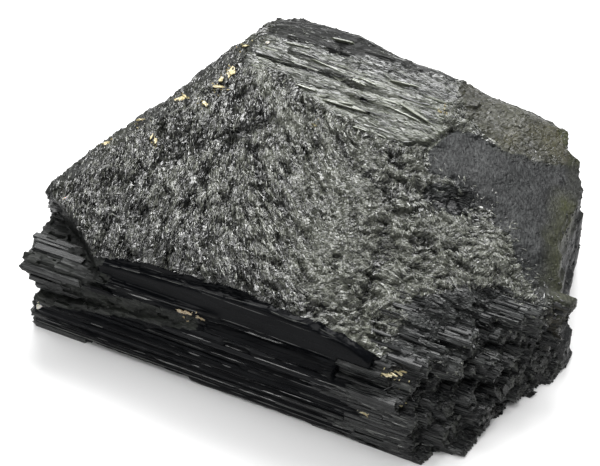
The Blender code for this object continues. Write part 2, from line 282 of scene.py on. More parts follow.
@dataclass
class Stones:
    """Many small closed solids of stone, gathered before they become one mesh.

    Attributes:
        points: Arrays of vertices, one for each batch.
        triangles: Arrays of vertex numbers, counted on from the earlier batches.
        tones: How light each vertex's stone is, from 0 to 1.
        kinds: Which of the piece's finishes each triangle has, by number.
        count: How many vertices there are so far.
    """

    points: list[Array]
    triangles: list[Array]
    tones: list[Array]
    kinds: list[Array]
    count: int = 0

    @classmethod
    def none(cls) -> "Stones":
        """An empty gathering."""
        return cls([], [], [], [])

    def add(self, points: Array, triangles: Array, tones: Array, kinds: Array | None = None) -> None:
        """Adds one batch.

        Args:
            points: Its vertices, (n, 3).
            triangles: Its triangles, counted from its own first vertex, (m, 3).
            tones: How light each vertex's stone is, (n,).
            kinds: Which finish each triangle has, (m,), or nothing for the first.
        """
        self.kinds.append(np.zeros(len(triangles), dtype=int) if kinds is None else kinds)
        self.points.append(points)
        self.triangles.append(triangles + self.count)
        self.tones.append(tones)
        self.count += len(points)

    def add_splinters(self, seat: "Seats", size: Array, tones: Array, pick: Random) -> None:
        """Adds pointed splinters, each with two tips and a four-cornered waist.

        Args:
            seat: Where they lie and how they are turned.
            size: Their length, width and height, (n, 3).
            tones: How light each one is, (n,).
            pick: The source of their differences.
        """
        half = size / 2
        waist = seat.points + seat.along * (pick.uniform(-0.5, 0.5, len(size)) * half[:, 0])[:, None]
        reach = seat.along * half[:, :1]
        side = seat.side * half[:, 1:2]
        rise = seat.out * half[:, 2:]
        corners = (
            seat.points - reach, waist + side, waist + rise, waist - side, waist - rise, seat.points + reach
        )
        pattern = np.array(
            [(0, 2, 1), (0, 3, 2), (0, 4, 3), (0, 1, 4), (5, 1, 2), (5, 2, 3), (5, 3, 4), (5, 4, 1)]
        )
        self._repeat(corners, pattern, tones, np.zeros(len(pattern), dtype=int))

    def add_bars(
        self, seat: "Seats", size: Array, tones: Array, pick: Random, slant: float
    ) -> None:
        """Adds straight bars with bevelled tops and slanting broken ends, which have the second finish.

        Args:
            seat: Where they lie and how they are turned.
            size: Their length, width and height, (n, 3).
            tones: How light each one is, (n,).
            pick: The source of their differences.
            slant: How steeply their ends may slant.
        """
        half = size / 2
        section = ((1, -1), (1, 0.3), (0.62, 1), (-0.62, 1), (-1, 0.3), (-1, -1))
        corners = []
        for end in (-1, 1):
            slants = pick.uniform(-slant, slant, (len(size), 2)) * half[:, 1:2]
            for across, up in section:
                place = end * half[:, 0] + across * slants[:, 0] + up * slants[:, 1]
                corners.append(
                    seat.points
                    + seat.along * place[:, None]
                    + seat.side * (across * half[:, 1])[:, None]
                    + seat.out * (up * half[:, 2])[:, None]
                )
        around = len(section)
        pattern = [(0, i + 1, i) for i in range(1, around - 1)]
        pattern += [(around, around + i, around + i + 1) for i in range(1, around - 1)]
        for i in range(around):
            j = (i + 1) % around
            pattern += [(i, j, j + around), (i, j + around, i + around)]
        ends = 2 * (around - 2)
        kinds = (np.arange(len(pattern)) < ends).astype(int)
        self._repeat(corners, np.array(pattern), tones, kinds)

    def _repeat(
        self, corners: "list[Array] | tuple[Array, ...]", pattern: Array, tones: Array, kinds: Array
    ) -> None:
        """Adds one solid for each row of the corners.

        Args:
            corners: For each of a solid's corners, where it is on every solid, (n, 3) each.
            pattern: The triangles of one solid.
            tones: How light each solid is, (n,).
            kinds: Which finish each of a solid's triangles has.
        """
        points = np.stack(corners, axis=1)
        count = len(points)
        first = np.arange(count)[:, None, None] * points.shape[1]
        triangles = (pattern[None] + first).reshape(-1, 3)
        self.add(points.reshape(-1, 3), triangles, np.repeat(tones, points.shape[1]), np.tile(kinds, count))

    def add_rib(
        self, path: Array, side: Array, out: Array, size: Array, section: Outline, tone: float
    ) -> None:
        """Adds one long rib that follows a path and runs out to a point at both ends.

        Args:
            path: Points along its foot, (n, 3).
            side: The direction across it, (3,).
            out: The direction it stands up in, (3,).
            size: Its width and height at each point of the path, (n, 2).
            section: Its section's corners, as shares of the width across and of the height up.
            tone: How light its stone is.
        """
        width, height = size[:, :1], size[:, 1:]
        ring = np.stack(
            [path + side * width * across + out * height * up for across, up in section], axis=1
        )[1:-1]
        points = np.concatenate([path[:1], ring.reshape(-1, 3), path[-1:]])
        last = len(points) - 1
        around = len(section)
        triangles = []
        for i in range(around):
            j = (i + 1) % around
            triangles.append((0, 1 + j, 1 + i))
            for k in range(len(ring) - 1):
                a, b = 1 + around * k + i, 1 + around * k + j
                triangles += [(a, b, b + around), (a, b + around, a + around)]
            triangles.append((last, last - around + i, last - around + j))
        self.add(points, np.array(triangles), np.full(len(points), tone))

    def mesh_object(self, name: str, surface: "Surface") -> Piece:
        """Makes the one mesh of them all.

        Args:
            name: The piece's name.
            surface: The crystal's surface, whose box it may not leave.

        Returns:
            The new object.
        """
        points = np.clip(np.concatenate(self.points), surface.lowest, surface.highest)
        made = new_object(name, points, np.concatenate(self.triangles))
        set_attribute(made, "tone", np.concatenate(self.tones))
        made.data.polygons.foreach_set("material_index", np.concatenate(self.kinds).astype(np.int32))
        return made


@dataclass
class Seats:
    """Places on the stone's surface, with the directions there.

    Attributes:
        points: The places, (n, 3).
        out: The directions away from the stone, (n, 3).
        along: The directions of the grain, square to out, (n, 3).
    """

    points: Array
    out: Array
    along: Array

    @property
    def side(self) -> Array:
        """The directions square to both others, (n, 3)."""
        return np.cross(self.out, self.along)

    @classmethod
    def facing(cls, points: Array, out: Array, along: Array) -> "Seats":
        """Seats at places, whose grain lies roughly along the given directions and square to out."""
        out = unit(out)
        return cls(points, out, unit(along - out * (along * out).sum(axis=1, keepdims=True)))

    def tipped(self, pitch: Array, roll: Array) -> "Seats":
        """Tips the seats out of the surface.

        Args:
            pitch: How far each one's grain turns up, in radians, (n,).
            roll: How far each one rolls over sideways, in radians, (n,).

        Returns:
            The tipped seats.
        """
        rolled = self.out * np.cos(roll)[:, None] + self.side * np.sin(roll)[:, None]
        along = self.along * np.cos(pitch)[:, None] + rolled * np.sin(pitch)[:, None]
        return Seats.facing(self.points, rolled, along)


def linked(name: str, data: bpy.types.ID) -> Piece:
    """Adds an object to the scene.

    Args:
        name: Its name.
        data: Its mesh, light or camera.

    Returns:
        The object.
    """
    made = bpy.data.objects.new(name, data)
    bpy.context.scene.collection.objects.link(made)
    return made


def new_object(name: str, points: Array, triangles: Array) -> Piece:
    """Makes a mesh object.

    Args:
        name: The piece's name.
        points: Its vertices, (n, 3).
        triangles: Three vertex numbers each, (m, 3).

    Returns:
        The object, linked to the scene.
    """
    mesh = bpy.data.meshes.new(name)
    mesh.vertices.add(len(points))
    mesh.vertices.foreach_set("co", (points * MM).astype(np.float32).ravel())
    mesh.loops.add(triangles.size)
    mesh.loops.foreach_set("vertex_index", triangles.astype(np.int32).ravel())
    mesh.polygons.add(len(triangles))
    mesh.polygons.foreach_set("loop_start", np.arange(0, triangles.size, 3, dtype=np.int32))
    mesh.update(calc_edges=True)
    mesh.shade_flat()
    return linked(name, mesh)


def evaluated(copy: Piece) -> tuple[Array, Array]:
    """Reads an object's mesh as its modifiers leave it, and removes the object.

    Args:
        copy: The object.

    Returns:
        Its vertices in millimetres, in the scene's frame, and its triangles.
    """
    bpy.context.view_layer.update()
    finished_copy = copy.evaluated_get(bpy.context.evaluated_depsgraph_get())
    mesh = finished_copy.to_mesh()
    mesh.calc_loop_triangles()
    points = np.empty(len(mesh.vertices) * 3)
    mesh.vertices.foreach_get("co", points)
    triangles = np.empty(len(mesh.loop_triangles) * 3, dtype=np.int32)
    mesh.loop_triangles.foreach_get("vertices", triangles)
    turned = points.reshape(-1, 3) @ np.array(copy.matrix_world.to_3x3()).T
    points = (turned + np.array(copy.matrix_world.translation)) / MM
    finished_copy.to_mesh_clear()
    bpy.data.objects.remove(copy)
    return points, triangles.reshape(-1, 3).astype(np.int64)


def set_attribute(target: Piece, name: str, values: Array) -> None:
    """Writes one number from 0 to 1 for each vertex, which the finishes read by its name."""
    made = target.data.attributes.new(name, "FLOAT", "POINT")
    made.data.foreach_set("value", np.clip(values, 0, 1).astype(np.float32))


def settle(piece: Piece) -> Piece:
    """Makes a piece ride on the crystal's body, and logs how many triangles it has.

    Args:
        piece: The piece.

    Returns:
        The same piece.
    """
    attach(piece, BODY)
    log.info("%s: %d triangles", piece.name, len(piece.data.polygons))
    return piece


# ---- finishes

MIX_FIRST, MIX_SECOND, MIX_RESULT = 6, 7, 2
"""The numbers of the colour sockets of Blender's mixing node, whose names aren't its own."""
SWIRL_SIZE = 8
"""How wide the bends of a finish's grain are."""
MOTTLE_SIZE = (5, 5, 5)
"""How wide the mottling of the stone is."""


class Shading:
    """A material's node tree, with short calls for the nodes that the finishes share."""

    def __init__(self, name: str) -> None:
        """Starts a material with one Principled shader.

        Args:
            name: The material's name.
        """
        self.material = bpy.data.materials.new(name)
        self.material.use_nodes = True
        self.tree = self.material.node_tree
        self.shader = self.tree.nodes["Principled BSDF"]
        self.place = self.node("TexCoord", {}).outputs["Object"]

    def node(self, kind: str, inputs: Inputs, **settings: object) -> bpy.types.Node:
        """Adds a node.

        Args:
            kind: Blender's name for it, without its first word.
            inputs: A socket or a value for each input, by its name or number.
            settings: Its own settings, by name.

        Returns:
            The node.
        """
        made = self.tree.nodes.new("ShaderNode" + kind)
        for name, value in settings.items():
            setattr(made, name, value)
        self.feed(made, inputs)
        return made

    def feed(self, node: bpy.types.Node, inputs: Inputs) -> None:
        """Links a node's inputs to sockets, or sets their values.

        Args:
            node: The node.
            inputs: A socket or a value for each input, by its name or number.
        """
        for name, value in inputs.items():
            target = node.inputs[name]
            if isinstance(value, Socket):
                self.tree.links.new(value, target)
            else:
                target.default_value = (*value, 1) if target.type == "RGBA" else value

    def swirl(self, amount: float) -> None:
        """Bends the coordinates that every pattern added from now on is read at.

        Args:
            amount: How far they are shifted at the most.
        """
        scale = 1 / (SWIRL_SIZE * MM)
        wide = self.node("TexNoise", {"Vector": self.place, "Scale": scale, "Detail": 1})
        whole, half = (2 * amount * MM,) * 3, (-amount * MM,) * 3
        inputs = {0: wide.outputs["Color"], 1: whole, 2: half}
        shift = self.node("VectorMath", inputs, operation="MULTIPLY_ADD")
        inputs = {0: self.place, 1: shift.outputs["Vector"]}
        self.place = self.node("VectorMath", inputs, operation="ADD").outputs["Vector"]

    def stretched(self, size: Triple, turn: float = 0.0) -> Socket:
        """Gives coordinates in which a grain of the given size is one unit.

        Args:
            size: The grain's size along X, Y and Z.
            turn: How far the grain is turned about Z, in degrees.

        Returns:
            The coordinates' socket.
        """
        rotation = (0, 0, math.radians(-turn))
        turned = self.node("Mapping", {"Vector": self.place, "Rotation": rotation})
        scale = tuple(1 / (s * MM) for s in size)
        inputs = {"Vector": turned.outputs["Vector"], "Scale": scale}
        return self.node("Mapping", inputs).outputs["Vector"]

    def noise(self, where: Socket, detail: float) -> Socket:
        """Noise from 0 to 1, mostly near 0.5, with so many finer layers."""
        inputs = {"Vector": where, "Scale": 1, "Detail": detail}
        return self.node("TexNoise", inputs).outputs["Fac"]

    def cells(self, where: Socket) -> Socket:
        """A number from 0 to 1 for each cell of a cracked pattern."""
        made = self.node("TexVoronoi", {"Vector": where, "Scale": 1})
        return self.node("SeparateColor", {"Color": made.outputs["Color"]}).outputs["Red"]

    def attribute(self, name: str) -> Socket:
        """A number that the mesh holds."""
        return self.node("Attribute", {}, attribute_name=name).outputs["Fac"]

    def spread(self, value: Socket, old: Span, new: Span) -> Socket:
        """The value, mapped from its old range onto a new one."""
        ranges = zip(("From Min", "From Max", "To Min", "To Max"), (*old, *new))
        return self.node("MapRange", {"Value": value, **dict(ranges)}).outputs["Result"]

    def math(self, operation: str, *values: "Socket | float") -> Socket:
        """The result of Blender's operation on numbers or sockets."""
        return self.node("Math", dict(enumerate(values)), operation=operation).outputs["Value"]

    def mix(self, share: Socket, first: "Socket | Triple", second: "Socket | Triple") -> Socket:
        """The first colour, with so much of the second mixed in."""
        inputs = {"Factor": share, MIX_FIRST: first, MIX_SECOND: second}
        return self.node("Mix", inputs, data_type="RGBA").outputs[MIX_RESULT]

    def bump(self, heights: Socket, depth: float, strength: float) -> None:
        """Roughens the shader's normal by a relief from 0 to 1, this many millimetres deep."""
        inputs = {"Height": heights, "Distance": depth * MM, "Strength": strength}
        self.feed(self.shader, {"Normal": self.node("Bump", inputs).outputs["Normal"]})


@dataclass(frozen=True)
class StoneFinish:
    """The finish of one kind of tourmaline surface.

    The mesh's "tone" says how light the stone is, with painted light and shade in it on the body and its
    splinters, and its "stain" how much rust and clay is on it.

    Attributes:
        name: The material's name.
        dark: The stone's colour where it is darkest.
        light: Its colour where it is lightest.
        stain: The colour of what has settled on it.
        gloss: Its roughness where it is shiniest and where it is dullest.
        grain: The size of the finest relief along X, Y and Z.
        speckle: The size of the light and dark specks.
        turn: How far the grain and the specks are turned about Z, in degrees.
        bend: How far they are bent out of line.
        depth: How deep the finest relief is.
        strength: How much of it shows.
        contrast: How much lighter or darker a speck may be.
        lustre: How strongly it mirrors, where 0.5 is usual for its kind.
        bending: Its refractive index.
    """

    name: str
    dark: Triple
    light: Triple
    stain: Triple
    gloss: Span
    grain: Triple
    speckle: Triple
    turn: float = 0.0
    bend: float = 0.6
    depth: float = 0.12
    strength: float = 0.9
    contrast: float = 0.3
    lustre: float = 0.5
    bending: float = 1.64

    def material(self) -> bpy.types.Material:
        """Builds the material.

        Returns:
            The material.
        """
        made = Shading(self.name)
        made.swirl(self.bend)
        mottle = made.noise(made.stretched(MOTTLE_SIZE), 3)
        specks = made.noise(made.stretched(self.speckle, self.turn), 2)
        tone = made.math("ADD", made.attribute("tone"), made.spread(mottle, (0.3, 0.7), (-0.18, 0.18)))
        tone = made.math("ADD", tone, made.spread(specks, (0.3, 0.7), (-self.contrast, self.contrast)))
        stone = made.mix(made.spread(tone, (0, 1), (0, 1)), self.dark, self.light)
        settled = made.attribute("stain")
        patchy = made.math("MULTIPLY", settled, made.spread(specks, (0.35, 0.6), (0.45, 1)))
        made.feed(made.shader, {"Base Color": made.mix(patchy, stone, self.stain)})
        fine = made.stretched(self.grain, self.turn)
        glints = made.cells(fine)
        made.feed(made.shader, {"Roughness": made.spread(glints, (0, 1), self.gloss)})
        relief = made.math("ADD", made.noise(fine, 2), made.math("MULTIPLY", glints, 0.45))
        made.bump(relief, self.depth, self.strength)
        made.feed(made.shader, {"IOR": self.bending, "Specular IOR Level": self.lustre})
        return made.material


@dataclass(frozen=True)
class MicaFinish:
    """The finish of a mica fleck.

    Attributes:
        name: The material's name.
        pale: Its colour where it is palest.
        deep: Its colour where it is deepest.
        gloss: Its roughness.
        sheen_through: How much light passes through it.
    """

    name: str
    pale: Triple
    deep: Triple
    gloss: float
    sheen_through: float = 0.15

    def material(self) -> bpy.types.Material:
        """Builds the material.

        Returns:
            The material.
        """
        made = Shading(self.name)
        sheets = made.noise(made.stretched((0.5, 0.5, 0.08)), 3)
        colour = made.mix(made.spread(sheets, (0.35, 0.65), (0, 1)), self.deep, self.pale)
        made.feed(made.shader, {
            "Base Color": colour,
            "Roughness": self.gloss,
            "Subsurface Weight": self.sheen_through,
            "Subsurface Radius": (0.0008, 0.0006, 0.0003),
        })
        made.bump(sheets, 0.06, 0.6)
        return made.material


def rough_break(name: str, turn: float, bend: float, length: float) -> StoneFinish:
    """The finish of a splintery break, whose grain has a turn in plan, a bend and a length."""
    return StoneFinish(
        name, (0.0032, 0.0037, 0.0034), (0.128, 0.134, 0.108), (0.12, 0.105, 0.05), (0.1, 0.38),
        (length, 0.22, 0.5), (length, 0.22, 0.5), turn, bend, depth=0.14, contrast=0.55,
        lustre=0.7,
    )


class Stone(Enum):
    """The kinds of surface that the crystal shows."""

    LEANING_BREAK = rough_break("leaning_break", 104, 0.9, 2.4)
    MIDDLE_BREAK = rough_break("middle_break", 135, 1.8, 1.8)
    SWIRLED_BREAK = rough_break("swirled_break", 170, 6, 1.2)
    STRIATED = StoneFinish(
        "striated_break", (0.018, 0.02, 0.018), (0.143, 0.154, 0.116), (0.15, 0.13, 0.07), (0.1, 0.38),
        (3.6, 0.24, 0.5), (4, 0.3, 0.5), strength=0.8, lustre=0.6,
    )
    DULL_RIM = StoneFinish(
        "dull_rim", (0.004, 0.0045, 0.0042), (0.045, 0.047, 0.04), (0.045, 0.04, 0.022), (0.3, 0.55),
        (4, 0.24, 0.4), (4, 0.4, 0.5), strength=0.8, lustre=0.12,
    )
    PRISM = StoneFinish(
        "ribbed_prism_face", (0.0016, 0.0019, 0.0026), (0.009, 0.0096, 0.0108), (0.05, 0.045, 0.026),
        (0.18, 0.4), (6, 0.22, 0.22), (6, 0.3, 0.3), depth=0.05, strength=0.5, lustre=0.05, bending=1.5,
    )
    # Ribs of lighter stone than the faces they lie on: the light end is a painted highlight on their crests,
    # besides their own gloss.
    RIB = StoneFinish(
        "rib_painted_highlight", (0.006, 0.0068, 0.007), (0.09, 0.094, 0.086), (0.09, 0.08, 0.045), (0.12, 0.3),
        (3, 0.2, 0.2), (2.4, 0.3, 0.3), depth=0.05, strength=0.5, lustre=0.45,
    )
    BLADE = StoneFinish(
        "glossy_blade", (0.0014, 0.0017, 0.0024), (0.006, 0.0065, 0.0078), (0.03, 0.03, 0.02), (0.12, 0.26),
        (7, 0.3, 0.3), (7, 0.4, 0.4), depth=0.03, strength=0.4, lustre=0.05, bending=1.5,
    )
    WORN = StoneFinish(
        "worn_patch", (0.0045, 0.005, 0.0056), (0.042, 0.0448, 0.0445), (0.045, 0.049, 0.014), (0.45, 0.7),
        (0.5, 0.24, 0.3), (0.9, 0.3, 0.4), 112, 1.5, contrast=0.7, lustre=0.18,
    )
    GRANULAR = StoneFinish(
        "granular_rim", (0.006, 0.0064, 0.0042), (0.058, 0.06, 0.042), (0.058, 0.053, 0.02), (0.3, 0.6),
        (0.45, 0.4, 0.4), (0.6, 0.5, 0.5), lustre=0.3,
    )
    SPLINTERED = StoneFinish(
        "splintered_bar", (0.0028, 0.0032, 0.0038), (0.055, 0.058, 0.056), (0.09, 0.08, 0.045), (0.12, 0.34),
        (5, 0.16, 0.16), (6, 0.16, 0.16), depth=0.06, strength=0.6, contrast=0.75, lustre=0.16,
    )
    BROKEN_TIP = StoneFinish(
        "broken_tip", (0.0024, 0.0028, 0.003), (0.075, 0.08, 0.07), (0.09, 0.08, 0.045), (0.2, 0.5),
        (0.8, 0.25, 0.25), (0.9, 0.3, 0.3), contrast=0.5, lustre=0.25,
    )
    RECESS = StoneFinish(
        "dark_recess", (0.0025, 0.0034, 0.0028), (0.024, 0.028, 0.021), (0.06, 0.055, 0.03), (0.4, 0.7),
        (1.4, 0.3, 0.3), (1.6, 0.5, 0.4), depth=0.14, lustre=0.2,
    )


class Mica(Enum):
    """The kinds of mica fleck."""

    GOLDEN = MicaFinish("golden_mica", (0.8, 0.73, 0.48), (0.34, 0.27, 0.12), 0.3)
    TAN = MicaFinish("tan_mica", (0.52, 0.44, 0.3), (0.26, 0.2, 0.12), 0.4)
    PALE = MicaFinish("pale_mica", (0.80, 0.78, 0.72), (0.45, 0.42, 0.36), 0.35, 0.4)


# ---- where the surface changes


@dataclass(frozen=True)
class Facet:
    """One flat facet of the broken top.

    Attributes:
        place: A point on it.
        rise: How much it rises for each millimetre of X and of Y.
    """

    place: Triple
    rise: Span

    def height(self, points: Array) -> Array:
        """Its height over points, (n,)."""
        return self.place[2] + (points[:, :2] - self.place[:2]) @ np.array(self.rise)


@dataclass(frozen=True)
class Crease:
    """A narrow groove in the top, painted dark as shade, or a ridge on it, painted light as a highlight.

    Attributes:
        path: Its course in (x, y).
        depth: How deep it is, less than nothing for a ridge.
        half_width: Half its width.
    """

    path: Outline
    depth: float
    half_width: float

    @classmethod
    def pit(cls, x: float, y: float, length: float, heading: float = 112.0) -> "Crease":
        """A long pit, painted dark at its bottom as shade.

        Args:
            x: Its middle's X.
            y: Its middle's Y.
            length: Its length.
            heading: The way it lies in plan, in degrees from +X.

        Returns:
            The pit.
        """
        turn = math.radians(heading)
        reach = (math.cos(turn) * length / 2, math.sin(turn) * length / 2)
        return cls(((x - reach[0], y - reach[1]), (x + reach[0], y + reach[1])), 1.2, 0.24 * length + 0.2)

    def share(self, points: Array) -> Array:
        """Tells how far down the groove points are, from 0 to 1, (n,)."""
        return np.exp(-((path_distance(points[:, :2], self.path) / self.half_width) ** 2))


ROOF = (
    Facet((-3.5, -31.3, 22.6), (-0.045, 0.075)),
    Facet((-27.7, -31.3, 19.2), (0.17, 0.44)),
    Facet((-34.4, 4.7, 24.6), (0.59, -0.075)),
    Facet((-16.5, 32.1, 27.9), (-0.19, -0.87)),
    Facet((-22.5, 29.7, 27.8), (0.35, -0.54)),
    Facet((22.5, 10.7, 25), (-0.36, -0.04)),
    Facet((16.5, -26.3, 21.4), (-0.16, 0.09)),
    Facet((39.1, -11.3, 14.6), (-0.52, 0.33)),
)
PITS = (
    (-31.5, -5.1, 2.6),
    (-27.5, -6.4, 3),
    (-23.7, -5.9, 3.4),
    (-18.8, -2.8, 3.6),
    (-16.9, 2.4, 3.2, 60),
    (-13.8, -12.2, 2.6),
    (-19.4, -11, 2.8),
    (-19.1, -17.6, 2.2, 100),
    (-27.1, -16.9, 2, 100),
    (-12.6, -22.5, 4, 120),
    (-21.6, 7.4, 2.6),
    (23.3, -7.7, 2, 10),
    (18.2, -8.1, 2.2, 30),
    (8.4, 5.6, 2.6, 150),
)
"""The X, Y and length of each of the long pits, and its heading where that isn't the usual one."""
CREASES = (
    Crease(((-23.6, 19), (-15, 19.7), (-7.2, 19.8), (-3.6, 18.4)), 0.9, 0.42),
    Crease(((14.4, 17), (13.6, 15.4), (11.6, 11.6), (8.6, 10.2), (5.7, 9.6), (2.8, 10.2)), 0.9, 0.4),
    Crease(((11.9, -6.6), (12.8, -13.3), (14, -17.3), (14.6, -23.8), (15.2, -28)), 0.6, 0.6),
    Crease(((-14.5, -2), (-11, -7), (-6.4, -10.4), (-2.6, -14.5), (3.7, -17.9)), 0.5, 0.7),
    Crease(((-3, 7), (-1.3, 4.9), (2.6, 1.4), (7.4, -0.5), (10.9, -1.8)), 0.6, 0.35),
    Crease(((-23, 15), (-19.8, 12.8), (-15.2, 8.8), (-10.2, 5.5)), -0.6, 1.3),
    Crease(((15.6, -8), (17, -14), (17.4, -21)), -0.5, 0.9),
    *(Crease.pit(*pit) for pit in PITS),
)


@dataclass(frozen=True)
class Chips:
    """One layer of the flat chips that roughen a surface.

    Attributes:
        seed: Which of the many like layers it is.
        size: A chip's size along X, Y and Z.
        tilt: How steeply a chip may lean.
        height: How far a chip may stand out.
    """

    seed: int
    size: Triple
    tilt: float
    height: float

    def over(self, points: Array) -> Array:
        """How far the chips stand out at points, (n,)."""
        return Noise(SEED + self.seed).chips(points / self.size, self.tilt) * self.height


CHIPS = {
    "any way": (Chips(2, (2.4, 1.8, 4), 1.1, 0.75), Chips(3, (1.2, 0.85, 1.6), 1.1, 0.45)),
    "one way": (Chips(2, (5.2, 1.3, 6), 1.1, 0.75), Chips(3, (2.8, 0.6, 2), 1.1, 0.45)),
    "strip": (Chips(2, (12, 2, 6), 0.5, 0.24), Chips(3, (5, 0.8, 4), 0.6, 0.16)),
    "frayed": (Chips(2, (8, 1.6, 3), 0.6, 0.6), Chips(3, (4, 0.7, 1.5), 0.6, 0.25)),
    "worn": (Chips(3, (1.3, 0.7, 1), 1, 0.07),),
    "granular": (Chips(3, (0.9, 0.9, 0.9), 1, 0.16),),
    "faces": (Chips(3, (30, 1.3, 1.3), 0.4, 0.14),),
    "blade": (Chips(3, (40, 2.4, 2), 0.3, 0.07),),
    "sides": (Chips(2, (16, 1.3, 1), 0.3, 0.12),),
    "tips": (Chips(3, (1.6, 0.9, 0.8), 0.8, 0.5),),
    "recess": (Chips(2, (3, 1.1, 0.9), 0.8, 0.4),),
}
"""The layers of chips of each kind of surface, and those of the break where it has a heading or none."""
CALMER = {"bevel": 0.65, "edge": 0.75, "fine": 0.25, "deep": 0.6, "frayed": 1}
"""How much lower the broken top's lumps and chips are in each of these kinds of surface."""
DARKER = {
    "frayed": 0.25, "corner": 0.2, "deep": 0.3, "shelf": 0.2, "rim": 0.2, "edge": 0.75, "bevel": 0.8,
    "fine": -0.05,
}
# How much darker the tone is made in each of these kinds of surface; in the hollow ("deep"), on the ledge
# ("shelf") and in the corner under the crown this is painted shade.
"""How much less light the stone is in each of these kinds of surface."""
HOLLOW_DEPTH = 0.9
"""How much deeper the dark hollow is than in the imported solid."""


def chipped(kind: str, points: Array) -> Array:
    """How far a kind of surface's chips stand out at points, (n,)."""
    return sum(chips.over(points) for chips in CHIPS[kind])


def creased(points: Array) -> Array:
    """How far the creases go down at points, (n,)."""
    return sum(crease.share(points) * crease.depth for crease in CREASES)


@dataclass(frozen=True)
class Regions:
    """Where the crystal's surface changes, in plan. Lines run from front to back.

    Attributes:
        strip: The striated strip along the back of the top.
        worn: The smoother, dull patch at the right of the top.
        granular: The grainy brownish rim behind the worn patch.
        rust: The olive stain down the right edge.
        dim: The band along the front of the top's left half that is painted darker as shade.
        fine: The finer and more even part in the middle of the top.
        brow: The Y in front of which the top belongs to the blade.
        bevel_line: The inner edge of the dull bevel along the left of the top.
        right_line: Where the splintered right end starts.
        left_line: Where the splintered left end starts.
        hollow: The centre of the hollow, which is painted dark as shade.
        hollow_reach: The hollow's half sizes.
        shelf_corner: The right and back limit, and the highest point, of the ledge's upper side.
    """

    strip: Outline = (
        (-25.5, 15.5), (-18.8, 16.6), (-13.6, 14), (-8.4, 12), (-1, 9.8), (5.7, 8.8), (11.6, 11),
        (13.7, 15.9), (11.8, 19.5), (13, 24), (9, 35), (-12, 36), (-26, 32),
    )
    worn: Outline = (
        (12.4, 11.4), (14.6, 17.4), (17.6, 17), (23, 16.6), (30, 18.6), (36, 22.6), (48, 22),
        (48, -10), (40.6, -7.4), (36.5, -5.4), (32.6, -2.4), (28.4, 1.6), (24, 4.7), (19, 6.4),
        (14, 5.9),
    )
    granular: Outline = (
        (12, 27), (15.5, 21.5), (21, 17.5), (26, 18.6), (33, 21.6), (38, 23), (36, 34),
        (10, 36),
    )
    rust: Outline = (
        (34.6, 14.5), (39.5, 14), (42.5, 5), (46, -4), (42, -9), (38.8, -3), (36.6, 4)
    )
    dim: Outline = (
        (-48, -20), (-40, -17.5), (-34, -20), (-22, -24), (-9.7, -26.5), (3.3, -26.5),
        (11, -28), (11, -36), (-48, -36),
    )
    fine: Outline = (
        (-13, 6), (-9, -1), (-5, -9), (-1, -13.5), (5, -17.5), (12, -17), (12, -6),
        (8, -1.5), (1.5, 1), (-3, 5.5), (-8, 9.5),
    )
    brow: float = -30.2
    bevel_line: Outline = (
        (-43.4, -26), (-38.9, -14.8), (-36.4, -8.8), (-29.6, 4), (-27.4, 13.4), (-25, 21),
        (-22, 40),
    )
    right_line: Outline = (
        (18, -34.3), (19.7, -29.7), (21.1, -26.3), (25.9, -19.4), (33.5, -11.4), (39.5, -7.3),
        (40.1, -1.3), (37.7, 4.3), (38.3, 18), (35.5, 23.6), (27.7, 32.8),
    )
    left_line: Outline = ((-43.1, -33.6), (-42.5, -24.3), (-39.5, -4.3), (-33.5, 15.7), (-18.5, 45.7))
    hollow: Span = (19.2, 3)
    hollow_reach: Span = (5, 3.4)
    shelf_corner: Triple = (-26, -17, 16.9)

    def roof(self, points: Array) -> Array:
        """The height of the plain roof over points, (n,)."""
        return np.min([facet.height(points) for facet in ROOF], axis=0)

    def beyond(self, points: Array, line: Outline) -> Array:
        """How far points are to the right of a line, in millimetres of X, (n,)."""
        course = np.array(line)
        return points[:, 0] - np.interp(points[:, 1], course[:, 1], course[:, 0])

    def deep(self, points: Array) -> Array:
        """Tells how far points are in the hollow, which is sunk and painted dark as shade, from 0 to 1,
        (n,).
        """
        offset = (points[:, :2] - self.hollow) / self.hollow_reach
        return np.exp(-((offset * offset).sum(axis=1) ** 1.5))

    def shelf(self, points: Array) -> Array:
        """Tells which points are on the upper side of the ledge.

        Args:
            points: Points, (n, 3).

        Returns:
            Numbers from 0 to 1, (n,).
        """
        x, y, z = points.T
        right, back, top = self.shelf_corner
        low = fall(z, top - 0.4, top) * ease(z, 13.8, 14.4)
        return low * fall(x, right - 1, right) * fall(y, back - 1, back)

    def recess(self, points: Array) -> Array:
        """Tells which points are in the hollow under the ledge at the left of the front.

        Args:
            points: Vertices, (n, 3).

        Returns:
            Numbers from 0 to 1, (n,).
        """
        x, y, z = points.T
        floor = np.interp(x, (-45, -9), (5, 13.2))
        roof = np.interp(x, (-45, -9), (13.2, 14.9))
        between = ease(z - floor, -0.6, 0.4) * fall(z - roof, -0.2, 0.5)
        return between * fall(x, -12, -8) * fall(y, -26, -24)


# ---- the crystal's own surface


